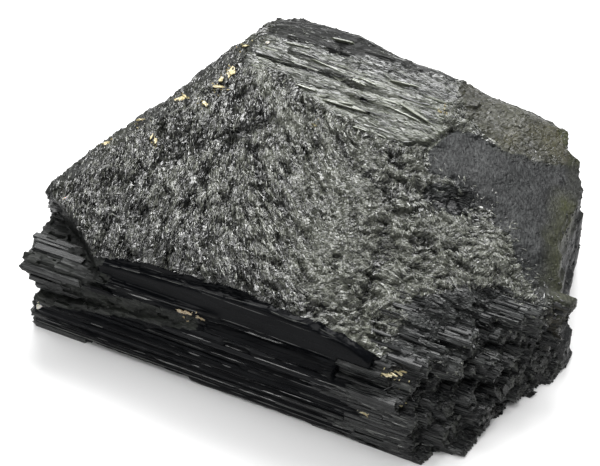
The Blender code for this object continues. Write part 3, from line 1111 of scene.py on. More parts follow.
@dataclass
class Surface:
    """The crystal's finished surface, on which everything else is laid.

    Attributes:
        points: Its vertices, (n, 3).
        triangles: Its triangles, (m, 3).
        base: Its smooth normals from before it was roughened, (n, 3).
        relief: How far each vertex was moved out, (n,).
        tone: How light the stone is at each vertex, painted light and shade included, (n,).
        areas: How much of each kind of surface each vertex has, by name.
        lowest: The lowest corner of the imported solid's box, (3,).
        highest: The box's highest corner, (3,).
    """

    points: Array
    triangles: Array
    base: Array
    relief: Array
    tone: Array
    areas: dict[str, Array]
    lowest: Array
    highest: Array

    def __post_init__(self) -> None:
        """Makes the tree that rays are cast at, and the roughened normals."""
        self.tree = BVHTree.FromPolygons(self.points.tolist(), self.triangles.tolist())
        self.normals = unit(self.base * 0.5 + vertex_normals(self.points, self.triangles))

    def scatter(self, weight: Array, count: int, pick: Random) -> tuple[Array, Array, Array]:
        """Picks places at random, evenly by area.

        Args:
            weight: How likely each vertex's surroundings are, (n,).
            count: How many places to pick.
            pick: The source of the choices.

        Returns:
            The places, the normals there and the vertex nearest to each, by number.
        """
        a, b, c = (self.points[self.triangles[:, i]] for i in range(3))
        area = np.linalg.norm(np.cross(b - a, c - a), axis=1)
        chance = area * weight[self.triangles].mean(axis=1)
        chosen = pick.choice(len(area), size=count, p=chance / chance.sum())
        shares = pick.dirichlet((1, 1, 1), size=count)
        corners = self.triangles[chosen]
        places = (self.points[corners] * shares[:, :, None]).sum(axis=1)
        facing = unit((self.normals[corners] * shares[:, :, None]).sum(axis=1))
        return places, facing, corners[np.arange(count), shares.argmax(axis=1)]

    def touch(self, start: Vector, towards: Vector, area: str = "") -> Vector | None:
        """Casts a ray at the surface.

        Args:
            start: Where it starts.
            towards: Its direction.
            area: The only kind of surface that counts, or nothing for any kind.

        Returns:
            Where it meets the surface, or None.
        """
        found, _, triangle, _ = self.tree.ray_cast(start, towards)
        if found is None or (area and self.areas[area][self.triangles[triangle, 0]] < 0.5):
            return None
        return found

    def follow(self, start: Vector, end: Vector, towards: Vector, area: str) -> list[Array]:
        """Follows the surface below a straight line, and breaks off wherever it steps.

        Args:
            start: The line's start.
            end: Its end.
            towards: The direction from the line to the surface.
            area: The only kind of surface that counts.

        Returns:
            Paths of three points and more, (n, 3) each.
        """
        count = max(4, round((end - start).length / 1.1))
        runs: list[list[Vector]] = [[]]
        for share in np.linspace(0, 1, count):
            found = self.touch(start.lerp(end, share), towards, area)
            stepped = found is None or (runs[-1] and abs((found - runs[-1][-1]).dot(towards)) > 0.4)
            if stepped:
                runs.append([])
            if found is not None:
                runs[-1].append(found)
        return [np.array(run) for run in runs if len(run) > 2]


@dataclass(frozen=True)
class Tiers:
    """The long bars that the right end broke into, tier above tier, before its surface is roughened.

    Attributes:
        width: The narrowest and widest bar.
        height: The lowest and highest bar.
        length: How long a bar is, most of it sunk in the crystal.
        backmost: The Y behind which there are none.
        highest: The Z above which there are none.
        longest: How far the longest stands out of the solid.
        slope: How much further a bar may stand out for each millimetre that it lies higher.
        seed: Which of the many like arrangements this is.
    """

    width: Span = (1.4, 3.6)
    height: Span = (1, 2.2)
    length: float = 14.0
    backmost: float = -7.0
    highest: float = 16.5
    longest: float = 4.2
    slope: float = 0.4
    seed: int = 60

    def stones(self, tree: BVHTree, lowest: Array) -> Stones:
        """Builds the bars.

        Args:
            tree: The solid's surface, for rays.
            lowest: The lowest corner of the solid's box, (3,).

        Returns:
            The bars.
        """
        pick = np.random.default_rng(SEED + self.seed)
        tips, sizes = [], []
        z = lowest[2] + 0.9
        while z < self.highest:
            height = pick.uniform(*self.height)
            y = lowest[1] + 0.6
            while y < self.backmost:
                width = pick.uniform(*self.width)
                start = Vector((NEAR, y + width / 2, z + height / 2))
                found = tree.ray_cast(start, Vector((-1, 0, 0)))[0]
                reach = min(self.longest, 0.3 + self.slope * z) * pick.random() ** 1.3 - 0.4
                if found is not None and found.x > 15:
                    tips.append(found + Vector((reach, 0, 0)))
                    sizes.append((self.length, width * 1.04, height * 1.04))
                y += width
            z += height
        count = len(tips)
        centres = np.array(tips) - (self.length / 2, 0, 0)
        roll = np.radians(pick.normal(0, 4, count))
        out = np.stack([np.zeros(count), np.sin(roll), np.cos(roll)], axis=1)
        along = np.array((1, 0, 0)) + pick.normal(0, 0.01, (count, 3))
        bars = Stones.none()
        bars.add_bars(Seats.facing(centres, out, along), np.array(sizes), np.zeros(count), pick, 0.3)
        return bars


@dataclass
class CrystalBody:
    """The closed surface of the whole crystal.

    Attributes:
        regions: Where the surface changes.
        tiers: The long bars at its right end.
        cell: How fine its mesh is while it is shaped.
        triangles: How many triangles it keeps.
        lump: How high the break's lumps are.
        headings: The way the chips at the left and in the middle lie, in degrees from +X.
        middle: The X between which the first heading gives way to the second.
        swirl: The X between which the second heading gives way to any.
    """

    regions: Regions
    tiers: Tiers = Tiers()
    cell: float = 0.34
    triangles: int = 190000
    lump: float = 0.5
    headings: Span = (106, 135)
    middle: Span = (-17, -8)
    swirl: Span = (0, 10)

    def build(self) -> Surface:
        """Builds and dresses the piece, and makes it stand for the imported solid.

        Returns:
            Its surface.
        """
        low, high = (np.array(corner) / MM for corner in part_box(NODE))
        rest, fine = self._fine_copy(low)
        base = vertex_normals(rest, fine)
        areas = self._areas(rest, base)
        relief = self._relief(rest, areas)
        shaped = np.clip(rest + base * relief[:, None], low, high)
        tone = self._tone_with_painted_light_and_shade(rest, areas, relief)
        points, triangles, kept = self._thinned(shaped, fine)
        points = np.clip(points, low, high)
        areas = {name: amount[kept] for name, amount in areas.items()}
        surface = Surface(points, triangles, base[kept], relief[kept], tone[kept], areas, low, high)
        made = new_object("crystal_body", points, triangles)
        # The tone holds painted shade and light as well as the stone's own tone.
        set_attribute(made, "tone", surface.tone)
        set_attribute(made, "stain", self._stain(points, areas))
        self._dress(made, surface)
        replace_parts(settle(made), NODE)
        return surface

    def _fine_copy(self, lowest: Array) -> tuple[Array, Array]:
        """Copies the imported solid's surface, with the long bars of its right end, as an even, fine mesh.

        Args:
            lowest: The lowest corner of the solid's box, (3,).

        Returns:
            Its vertices in millimetres and its triangles.
        """
        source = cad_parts[NODE]
        copy = linked("welded_copy", source.data.copy())
        copy.matrix_world = source.matrix_world.copy()
        copy.modifiers.new("weld", "WELD").merge_threshold = 0.001 * MM
        solid, faces = evaluated(copy)
        whole = self.tiers.stones(BVHTree.FromPolygons(solid.tolist(), faces.tolist()), lowest)
        whole.add(solid, faces, np.zeros(len(solid)))
        joined = new_object("fine_copy", np.concatenate(whole.points), np.concatenate(whole.triangles))
        fine = joined.modifiers.new("fine", "REMESH")
        fine.mode = "VOXEL"
        fine.voxel_size = self.cell * MM
        return evaluated(joined)

    def _thinned(self, points: Array, triangles: Array) -> tuple[Array, Array, Array]:
        """Drops triangles wherever the surface is flat enough to spare them.

        Args:
            points: Vertices, (n, 3).
            triangles: Triangles, (m, 3).

        Returns:
            The new vertices and triangles, and for each new vertex the nearest old one, by number.
        """
        copy = new_object("thinned_copy", points, triangles)
        thin = copy.modifiers.new("thin", "DECIMATE")
        thin.ratio = self.triangles / len(triangles)
        thinned, kept_triangles = evaluated(copy)
        tree = KDTree(len(points))
        for number, point in enumerate(points):
            tree.insert(point, number)
        tree.balance()
        nearest = np.array([tree.find(point)[1] for point in thinned])
        return thinned, kept_triangles, nearest

    def _areas(self, points: Array, normals: Array) -> dict[str, Array]:
        """Sorts the surface into kinds.

        Args:
            points: Its vertices, (n, 3).
            normals: Its smooth normals, (n, 3).

        Returns:
            How much of each kind each vertex has, from 0 to 1, by the kind's name.
        """
        regions = self.regions
        x, y, z = points.T
        wobble = Noise(SEED).layered(points / 2.4, 3) * 1.3
        shifted = points + np.stack([wobble, np.roll(wobble, 7), np.zeros_like(wobble)], axis=1)
        up = ease(normals[:, 2] + 0.12 * wobble, 0.3, 0.55)
        shelf = up * regions.shelf(points)
        crown = apart(up * ease(z - regions.roof(points), -2.9, -2.1), shelf)
        crown = crown * ease(y, regions.brow - 0.5, regions.brow)
        rest = 1 - crown
        strip = crown * within(shifted, regions.strip, 1.2)
        worn = apart(crown * within(shifted, regions.worn, 3.2), strip)
        inset = 6 * fall(y, -29, -19)
        from_right = regions.beyond(shifted, regions.right_line)
        frayed = crown * ease(from_right - inset, -6, -3.5) * fall(shifted[:, 1], -10, -6.5)
        beside = ease(shifted[:, 0], 20, 23) * ease(shifted[:, 1], 14, 16)
        granular = np.maximum(within(shifted, regions.granular, 2), beside)
        granular = apart(crown * granular, worn, strip)
        bevel = apart(crown * fall(regions.beyond(shifted, regions.bevel_line), -1.2, 1.2), strip)
        stagger = Noise(SEED + 8).chips(points / (60, 1.6, 1.2), 0) * 6
        blade = ease(z, 15.4, 15.9) * fall(y, -30, -29.4) * fall(x, 20, 21)
        right = apart(rest * ease(regions.beyond(points, regions.right_line) + stagger, -2, -0.6), blade)
        left = apart(rest, shelf) * fall(regions.beyond(points, regions.left_line), 0.8, 2)
        corner = fall(x + 2.5 * wobble, -32, -24) * ease(z, 14, 15)
        recess = apart(rest, left) * np.maximum(regions.recess(points), corner)
        faces = apart(rest, shelf, right, left, recess)
        blade = faces * blade
        return dict(
            crown=crown, shelf=shelf, strip=strip, worn=worn, granular=granular,
            bevel=bevel, right=right, left=left, recess=recess, blade=blade,
            faces=faces - blade, broken=apart(crown, strip, worn, granular),
            fine=crown * within(shifted, regions.fine, 3),
            deep=crown * regions.deep(points), frayed=frayed, corner=recess * corner,
            swirled=ease(shifted[:, 0], *self.swirl), middle=ease(shifted[:, 0], *self.middle),
            tips=(right + left) * ease(np.abs(normals[:, 0]), 0.6, 0.78),
            rim=crown * ease(y - 0.12 * x + 2 * wobble, 25.5, 28.5),
            fringe=apart(worn, within(points, regions.worn, 8)) * fall(y, 8, 12),
            edge=ease(from_right, -3.4, -1.6) * ease(y + 2.5 * wobble, -7, -1),
        )

    def _relief(self, points: Array, areas: dict[str, Array]) -> Array:
        """Works out how far each vertex moves out along its normal.

        Args:
            points: Vertices, (n, 3).
            areas: How much of each kind each vertex has.

        Returns:
            The heights, (n,).
        """
        coarse = Noise(SEED + 1)
        lumps = coarse.layered(points / (4.8, 3.6, 6), 2) * self.lump
        broken = chipped("any way", points) * areas["swirled"]
        shares = (1 - areas["middle"], apart(areas["middle"], areas["swirled"]))
        for heading, share in zip(self.headings, shares):
            turned = turned_level(points, heading)
            broken += share * chipped("one way", turned)
        broken += lumps
        for area, share in CALMER.items():
            broken = apart(broken, share * areas[area])
        relief = areas["broken"] * broken
        relief += areas["worn"] * (coarse.layered(points / 3, 3) * 0.2 + chipped("worn", turned))
        relief += lumps * (0.25 * areas["strip"] + 0.4 * areas["granular"])
        for area in ("frayed", "strip", "granular", "faces", "blade"):
            relief += areas[area] * chipped(area, points)
        tips = areas["tips"]
        ends = apart(areas["right"], areas["edge"]) + areas["left"]
        relief += ends * (tips * chipped("tips", points) + (1 - tips) * chipped("sides", points))
        recess = apart(areas["recess"], 0.6 * areas["corner"]) + areas["shelf"]
        relief += recess * chipped("recess", points)
        return relief - HOLLOW_DEPTH * areas["deep"] - areas["crown"] * creased(points)

    def _tone_with_painted_light_and_shade(self, points: Array, areas: dict[str, Array], relief: Array) -> Array:
        """Works out each vertex's tone: how light its stone is, with painted shade in pits, creases, the
        hollow and under the crown, and painted light and shade across the top.

        Args:
            points: Vertices, (n, 3).
            areas: How much of each kind each vertex has.
            relief: How far each vertex was moved out, (n,).

        Returns:
            Numbers from 0 to 1, (n,).
        """
        x, y, _ = points.T
        strip, broken, crown = (areas[name] for name in ("strip", "broken", "crown"))
        drift = Noise(SEED + 4).layered(turned_level(points, self.headings[0]) / (10, 4, 8), 3)
        # Painted shade and light: the relief term makes the stone darker where the surface sinks, in pits,
        # and lighter where chips stand out.
        tone = 0.27 + 0.15 * strip + (0.4 - 0.2 * strip) * drift + (0.42 - 0.14 * strip) * relief
        # Among these, the hollow, the ledge and the corner under the crown are painted shade.
        for area, darker in DARKER.items():
            tone -= darker * areas[area]
        # Painted shade in the creases and on the band along the front of the top's left half, and painted
        # light on the ridges.
        tone -= crown * (0.55 * creased(points) + 0.6 * within(points, self.regions.dim, 8))
        # Painted light and shade across the broken top: lighter towards the middle and the right, darker
        # towards the bevel, and at the front darker on the left and lighter on the right; the strip is
        # painted darker at its back and its left.
        painted_shade_left = fall(self.regions.beyond(points, self.regions.bevel_line), 0, 24)
        front = fall(y, -26, -14) * (1 - 2 * ease(x, -4, 8))
        tone += broken * (0.2 * ease(x, -22, -6) + 0.15 * ease(x, 0, 6))
        tone -= broken * (0.26 * painted_shade_left + 0.12 * front)
        shaded = ease(y - 0.1 * x, 17.5, 25)
        tone -= 0.38 * strip * np.maximum(shaded, 0.5 * fall(x, -20, -10))
        tone += 0.08 * strip * ease(x, -6, 4) * fall(y, 18, 22)
        tone -= 0.3 * apart(areas["right"] + areas["left"], areas["tips"])
        return np.clip(tone, 0, 1)

    def _stain(self, points: Array, areas: dict[str, Array]) -> Array:
        """Works out how much has settled on each vertex.

        Args:
            points: Vertices, (n, 3).
            areas: How much of each kind each vertex has.

        Returns:
            Numbers from 0 to 1, (n,).
        """
        patches = ease(Noise(SEED + 5).layered(points / 4, 3), -0.2, 0.5)
        high = ease(points[:, 2] - self.regions.roof(points), -8, -1)
        rust = (within(points, self.regions.rust, 4) + 0.2 * areas["edge"]) * high * (0.4 + 0.6 * patches)
        rust += 0.6 * areas["granular"] * (0.3 + 0.7 * patches)
        return rust + 0.3 * areas["bevel"] * (0.2 + 0.8 * patches)

    def _dress(self, made: Piece, surface: Surface) -> None:
        """Gives each triangle the finish of its kind.

        Args:
            made: The piece.
            surface: Its surface.
        """
        areas = surface.areas
        deep, edge, tips = (areas[name] for name in ("deep", "edge", "tips"))
        rough = apart(areas["broken"], areas["bevel"], deep, areas["frayed"])
        ends = apart(np.maximum(areas["right"], areas["left"]), edge)
        amounts = {
            Stone.LEANING_BREAK: apart(rough, areas["middle"]),
            Stone.MIDDLE_BREAK: apart(rough * areas["middle"], areas["swirled"]),
            Stone.SWIRLED_BREAK: rough * areas["swirled"],
            Stone.STRIATED: apart(areas["strip"], areas["rim"]),
            Stone.DULL_RIM: areas["rim"],
            Stone.WORN: np.maximum.reduce([apart(areas["worn"], deep), edge, areas["bevel"]]),
            Stone.GRANULAR: areas["granular"],
            Stone.PRISM: areas["faces"],
            # The hollow also takes this darker finish, as painted shade.
            Stone.SPLINTERED: np.maximum.reduce([apart(ends, tips), areas["frayed"], deep]),
            Stone.BROKEN_TIP: ends * tips,
            # The ledge's upper side takes the recess's darker finish, as painted shade.
            Stone.RECESS: np.maximum(areas["recess"], areas["shelf"]),
            Stone.BLADE: areas["blade"],
        }
        for kind in amounts:
            made.data.materials.append(kind.value.material())
        scores = np.stack([amount[surface.triangles].mean(axis=1) for amount in amounts.values()], axis=1)
        chosen = scores.argmax(axis=1)
        made.data.polygons.foreach_set("material_index", chosen.astype(np.int32))
        made.data.polygons.foreach_set("use_smooth", chosen == list(amounts).index(Stone.BLADE))


# ---- what is let into the surface


def finished(stones: Stones, surface: Surface, name: str, *finishes: Stone) -> None:
    """Makes a piece of gathered stones.

    Args:
        stones: The stones.
        surface: The crystal's surface.
        name: The piece's name.
        finishes: Its finishes, in the order of the stones' kinds.
    """
    made = stones.mesh_object(name, surface)
    set_attribute(made, "stain", np.zeros(stones.count))
    for finish in finishes:
        made.data.materials.append(finish.value.material())
    settle(made)


@dataclass(frozen=True)
class Lay:
    """How the splinters of one part of the break are, and how they lie.

    Attributes:
        length: Their shortest and longest length.
        width: Their narrowest and widest width.
        turn: How far a patch's heading strays, in degrees.
        pitch: How far they rise out of the surface, in radians.
        roll: How far they are rolled over.
        seed: Which of the many like arrangements this is.
    """

    length: Span
    width: Span
    turn: float
    pitch: float
    roll: float
    seed: int


BARER = {"bevel": 0.6, "deep": 0.95, "edge": 0.9, "frayed": 1}
"""What share of the break's splinters is missing in each of these kinds of surface."""


class Grain(Enum):
    """How the splinters of one part of the break lie."""

    LEANING = Lay((0.5, 2.2), (0.16, 0.5), 18, 0.1, 0.6, 10)
    SWIRLED = Lay((0.5, 1.7), (0.16, 0.55), 110, 0.14, 0.6, 11)


@dataclass
class BreakSplinters:
    """Splinters that stand in the rough break on top.

    Attributes:
        regions: Where the surface changes.
        grain: How they lie.
        count: How many there are.
        headings: The way they point in plan at each of several X, as (x, degrees from +X).
        patch: The size of the patches that share a heading.
        stray: The share of them that points any way.
    """

    regions: Regions
    grain: Grain
    count: int = 17000
    headings: Outline = ((-24, 106), (-5, 133), (10, 168))
    patch: float = 3.2
    stray: float = 0.07

    def build(self, surface: Surface) -> None:
        """Builds and dresses the piece.

        Args:
            surface: The crystal's surface.
        """
        swirled = self.grain is Grain.SWIRLED
        lay = self.grain.value
        pick = np.random.default_rng(SEED + lay.seed)
        areas = surface.areas
        split = ease(surface.points[:, 0], -2, 8)
        bare = fall(areas["worn"] + areas["granular"], 0.1, 0.5)
        weight = areas["broken"] * bare * (split if swirled else 1 - split)
        for area, share in BARER.items():
            weight = apart(weight, share * areas[area])
        weight = weight * ease(surface.points[:, 1], -29.4, -28.2)
        weight += (0.06 * areas["granular"] + 0.3 * areas["fringe"]) * swirled
        cover = Noise(SEED + 9).layered(surface.points / (2.6, 3.4, 4), 2)
        weight = weight * (0.25 + 0.75 * ease(cover, -0.3, 0.15))
        weight = weight * (0.12 + 0.88 * ease(surface.relief, -0.7, 0.2))
        places, facing, nearest = surface.scatter(weight, self.count, pick)
        cell, _ = Noise(SEED + 6).nearest(places / self.patch)
        along = in_plan(np.radians(self._headings(places, cell, pick)))
        seats = Seats.facing(places, facing, along)
        seats = seats.tipped(pick.normal(0, lay.pitch, self.count), pick.normal(0, lay.roll, self.count))
        shorter = np.maximum(0.6 * areas["granular"], 0.4 * areas["fine"])[nearest]
        stones = Stones.none()
        # The splinters take the body's tone, with its painted shade and light.
        tones = np.clip(surface.tone[nearest] + pick.normal(0.02, 0.42, self.count), 0, 1)
        stones.add_splinters(seats, self._sizes(pick, shorter), tones, pick)
        finish = Stone.SWIRLED_BREAK if swirled else Stone.LEANING_BREAK
        finished(stones, surface, f"{self.grain.name.lower()}_splinters", finish)

    def _headings(self, places: Array, cell: Array, pick: Random) -> Array:
        """Works out which way each splinter points.

        Args:
            places: Where they are, (n, 3).
            cell: The patch that each is in, (n, 3).
            pick: The source of their differences.

        Returns:
            Angles in plan, in degrees from +X, (n,).
        """
        drift = Noise(SEED + 6).lattice(cell, 3) * 0.6 + Noise(SEED + 7).smooth(places / 9) * 0.9
        course = np.array(self.headings)
        angles = np.interp(places[:, 0], course[:, 0], course[:, 1]) + self.grain.value.turn * drift
        angles += pick.normal(0, 7, self.count)
        beside_strip = within(places, self.regions.strip, 5)
        angles = apart(angles, beside_strip) + beside_strip * pick.normal(0, 12, self.count)
        astray = pick.random(self.count) < self.stray
        return np.where(astray, pick.uniform(0, 180, self.count), angles)

    def _sizes(self, pick: Random, shorter: Array) -> Array:
        """Picks the splinters' sizes.

        Args:
            pick: The source of their differences.
            shorter: How much shorter each one is than elsewhere, as a share, (n,).

        Returns:
            Lengths, widths and heights, (n, 3).
        """
        shortest, longest = self.grain.value.length
        length = shortest + (longest - shortest) * pick.random(self.count) ** 2
        length = length * (1 - shorter)
        width = pick.uniform(*self.grain.value.width, self.count)
        return np.stack([length, width, width * pick.uniform(0.3, 0.7, self.count)], axis=1)


@dataclass(frozen=True)
class RibBed:
    """Ribs laid along one face of the crystal.

    Attributes:
        name: The piece's name.
        area: The kind of surface that they lie on.
        finish: Their finish.
        from_side: The direction that the face looks in.
        across: The direction from rib to rib.
        span: The first and last place across.
        reach: The first and last X.
        width: The narrowest and widest rib.
        height: The lowest and highest rib.
        run: The shortest and longest rib.
        spacing: The room from rib to rib, as a share of a rib's width.
        veer: How far a rib strays from the axis, in degrees.
        skew: How far a crest leans across, at least and at most.
        light: How light a rib is on average, and how much they differ.
        seed: Which of the many like beds this is.
    """

    name: str
    area: str
    finish: Stone
    from_side: Triple
    across: Triple
    span: Span
    reach: Span
    width: Span
    height: Span
    run: Span
    spacing: float = 0.8
    veer: float = 0.2
    skew: Span = (-0.35, 0.35)
    light: Span = (0.45, 0.3)
    seed: int = 50

    def build(self, surface: Surface) -> None:
        """Builds and dresses the piece.

        Args:
            surface: The crystal's surface.
        """
        pick = np.random.default_rng(SEED + self.seed)
        stones = Stones.none()
        at = self.span[0]
        while at < self.span[1]:
            width = pick.uniform(*self.width)
            x = self.reach[0] - pick.uniform(0, self.run[0])
            while x < self.reach[1]:
                share = pick.random() ** 1.6
                run = self.run[0] + (self.run[1] - self.run[0]) * share
                self._lay(stones, surface, at + width * pick.uniform(-0.3, 0.3), (x, x + run), width, pick)
                x += run + pick.uniform(-0.6, 1.6)
            at += width * self.spacing
        finished(stones, surface, self.name, self.finish)

    def _lay(
        self, stones: Stones, surface: Surface, at: float, ends: Span, width: float, pick: Random
    ) -> None:
        """Lays one rib along the face, and breaks it wherever the face steps.

        Args:
            stones: Where the rib is added.
            surface: The crystal's surface.
            at: The rib's place across the face.
            ends: The X at which it starts and ends.
            width: Its width.
            pick: The source of its differences.
        """
        out = Vector(self.from_side)
        rise = math.tan(math.radians(pick.normal(0, self.veer))) * (ends[1] - ends[0]) / 2
        start, end = (Vector(self.across) * (at + turn * rise) + out * FAR for turn in (-1, 1))
        start.x, end.x = ends
        for path in surface.follow(start, end, -out, self.area):
            swell = 1 + 0.2 * pick.uniform(-1, 1, len(path))
            size = np.stack([width * swell, pick.uniform(*self.height) * swell], axis=1)
            tone = float(np.clip(pick.normal(*self.light), 0, 1))
            section = ((0.5, 0), (pick.uniform(*self.skew), 1), (-0.5, 0), (0, -1.5))
            stones.add_rib(path, np.array(self.across), np.array(self.from_side), size, section, tone)


@dataclass(frozen=True)
class Streak:
    """One flat-topped sliver of the striated strip that catches the light, its stone painted at the lightest
    tone as a highlight.

    Attributes:
        start: Its start in (x, y).
        end: Its end.
        width: Its width.
        lift: How high it stands.
    """

    start: Span
    end: Span
    width: float
    lift: float

    def add_to(self, stones: Stones, surface: Surface, pick: Random) -> None:
        """Adds the sliver, which spans the hollows below it and tapers to both ends.

        Args:
            stones: Where it is added.
            surface: The crystal's surface.
            pick: The source of its differences.
        """
        starts = (Vector((*spot, NEAR)) for spot in (self.start, self.end))
        start, end = (np.array(surface.touch(above, Vector(DOWN))) for above in starts)
        share = np.linspace(0, 1, 9)
        path = start + share[:, None] * (end - start)
        path[:, 2] += self.lift * np.minimum(1, 8 * share * (1 - share))
        swell = (0.45 + 0.55 * np.sin(math.pi * share) ** 0.6) * pick.uniform(0.85, 1.1, len(path))
        size = np.stack([self.width * swell, np.full(len(path), 0.12)], axis=1)
        section = ((0.5, 0), (0.42, 1), (-0.42, 1), (-0.5, 0), (0, -6))
        # The lightest tone is a painted highlight.
        stones.add_rib(path, np.array(BACKWARD), np.array(UP), size, section, 1)


@dataclass(frozen=True)
class BladeEdge:
    """The thin line of light stone along the upper edge of the front blade, a painted highlight besides its
    gloss.

    Attributes:
        reach: The first and last X.
        levels: The lowest and highest Z at which the edge is looked for.
        width: Its width.
        height: How far it stands out.
    """

    reach: Span = (-27, 19)
    levels: Span = (17, 22.5)
    width: float = 0.15
    height: float = 0.07

    def build(self, surface: Surface) -> None:
        """Builds and dresses the piece.

        Args:
            surface: The crystal's surface.
        """
        pick = np.random.default_rng(SEED + 21)
        stones = Stones.none()
        path: list[Vector] = []
        for x in np.arange(*self.reach, 0.8):
            hits = [
                surface.touch(Vector((x, -NEAR, z)), Vector(BACKWARD), "blade")
                for z in np.arange(self.levels[1], self.levels[0], -0.12)
            ]
            top = next((hit for hit in hits if hit is not None and hit.y < -31), None)
            if top is not None:
                path.append(top)
        course = np.array(path)
        for _ in range(4):
            course[1:-1] = (course[:-2] + 2 * course[1:-1] + course[2:]) / 4
        for first in range(0, len(course) - 4, 9):
            run = course[first:first + int(pick.integers(6, 13))]
            size = np.full((len(run), 2), (self.width, self.height)) * pick.uniform(0.5, 1.2, (len(run), 1))
            section = ((0.5, 0), (-0.3, 1), (-0.5, 0), (0, -1.5))
            # Its light tone is a painted highlight.
            stones.add_rib(run, np.array(UP), np.array(FRONTWARD), size, section, 0.8)
        finished(stones, surface, "blade_edge_painted_highlight", Stone.RIB)


@dataclass
class StriatedStrip:
    """The brightest blades of the striated strip, each in its own place.

    Attributes:
        streaks: The blades.
        short_count: How many short splinters lie between them.
    """

    streaks: tuple[Streak, ...] = (
        Streak((-8.8, 13.2), (-0.2, 13.9), 0.8, 0.3),
        Streak((-6.4, 13.6), (-3, 13.9), 0.5, 0.45),
        Streak((-3.4, 18.5), (4.6, 17.2), 0.55, 0.3),
        Streak((3.6, 17.6), (10.8, 16), 0.6, 0.3),
        Streak((2.2, 16.4), (9.4, 15.2), 0.3, 0.25),
        Streak((-6.3, 20.3), (-2.6, 19.4), 0.7, 0.35),
        Streak((-5.2, 20.9), (-1, 19.9), 0.45, 0.35),
        Streak((-1.6, 9.7), (1.6, 9.7), 0.35, 0.25),
        Streak((1.4, 10), (5.2, 9.9), 0.3, 0.25),
        Streak((-14.5, 14.4), (-10.2, 14.7), 0.35, 0.25),
        Streak((-13.8, 28.3), (-9.2, 29.2), 0.35, 0.25),
        Streak((0, 22.5), (5.8, 23.2), 0.28, 0.25),
        Streak((-24, 15.8), (-21.6, 15.2), 0.3, 0.25),
        Streak((-15, 21.7), (-7.6, 20.7), 0.28, 0.25),
        Streak((-21, 23.6), (-15.4, 24), 0.25, 0.2),
    )
    short_count: int = 2600

    def build(self, surface: Surface) -> None:
        """Builds and dresses the piece.

        Args:
            surface: The crystal's surface.
        """
        pick = np.random.default_rng(SEED + 20)
        stones = Stones.none()
        for streak in self.streaks:
            streak.add_to(stones, surface, pick)
        count = self.short_count
        weight = apart(surface.areas["strip"], 0.8 * surface.areas["rim"])
        places, facing, nearest = surface.scatter(weight, count, pick)
        seats = Seats.facing(places, facing, in_plan(np.radians(pick.normal(-2, 12, count))))
        seats = seats.tipped(pick.normal(0, 0.05, count), pick.normal(0, 0.3, count))
        length = 0.8 + 2.6 * pick.random(count) ** 2
        width = pick.uniform(0.14, 0.36, count)
        size = np.stack([length, width, width * pick.uniform(0.5, 0.9, count)], axis=1)
        # The splinters take the body's tone, with its painted shade and light.
        tones = np.clip(surface.tone[nearest] + pick.normal(0.04, 0.2, count), 0, 1)
        stones.add_splinters(seats, size, tones, pick)
        finished(stones, surface, "striated_strip", Stone.STRIATED)


@dataclass(frozen=True)
class Fibres:
    """One size of fibre bundle at a splintered end.

    Attributes:
        width: The narrowest and widest bundle.
        height: The lowest and highest.
        proud: How far the shortest and the longest stands out of the surface.
        share: The share of places that have one.
    """

    width: Span
    height: Span
    proud: Span
    share: float


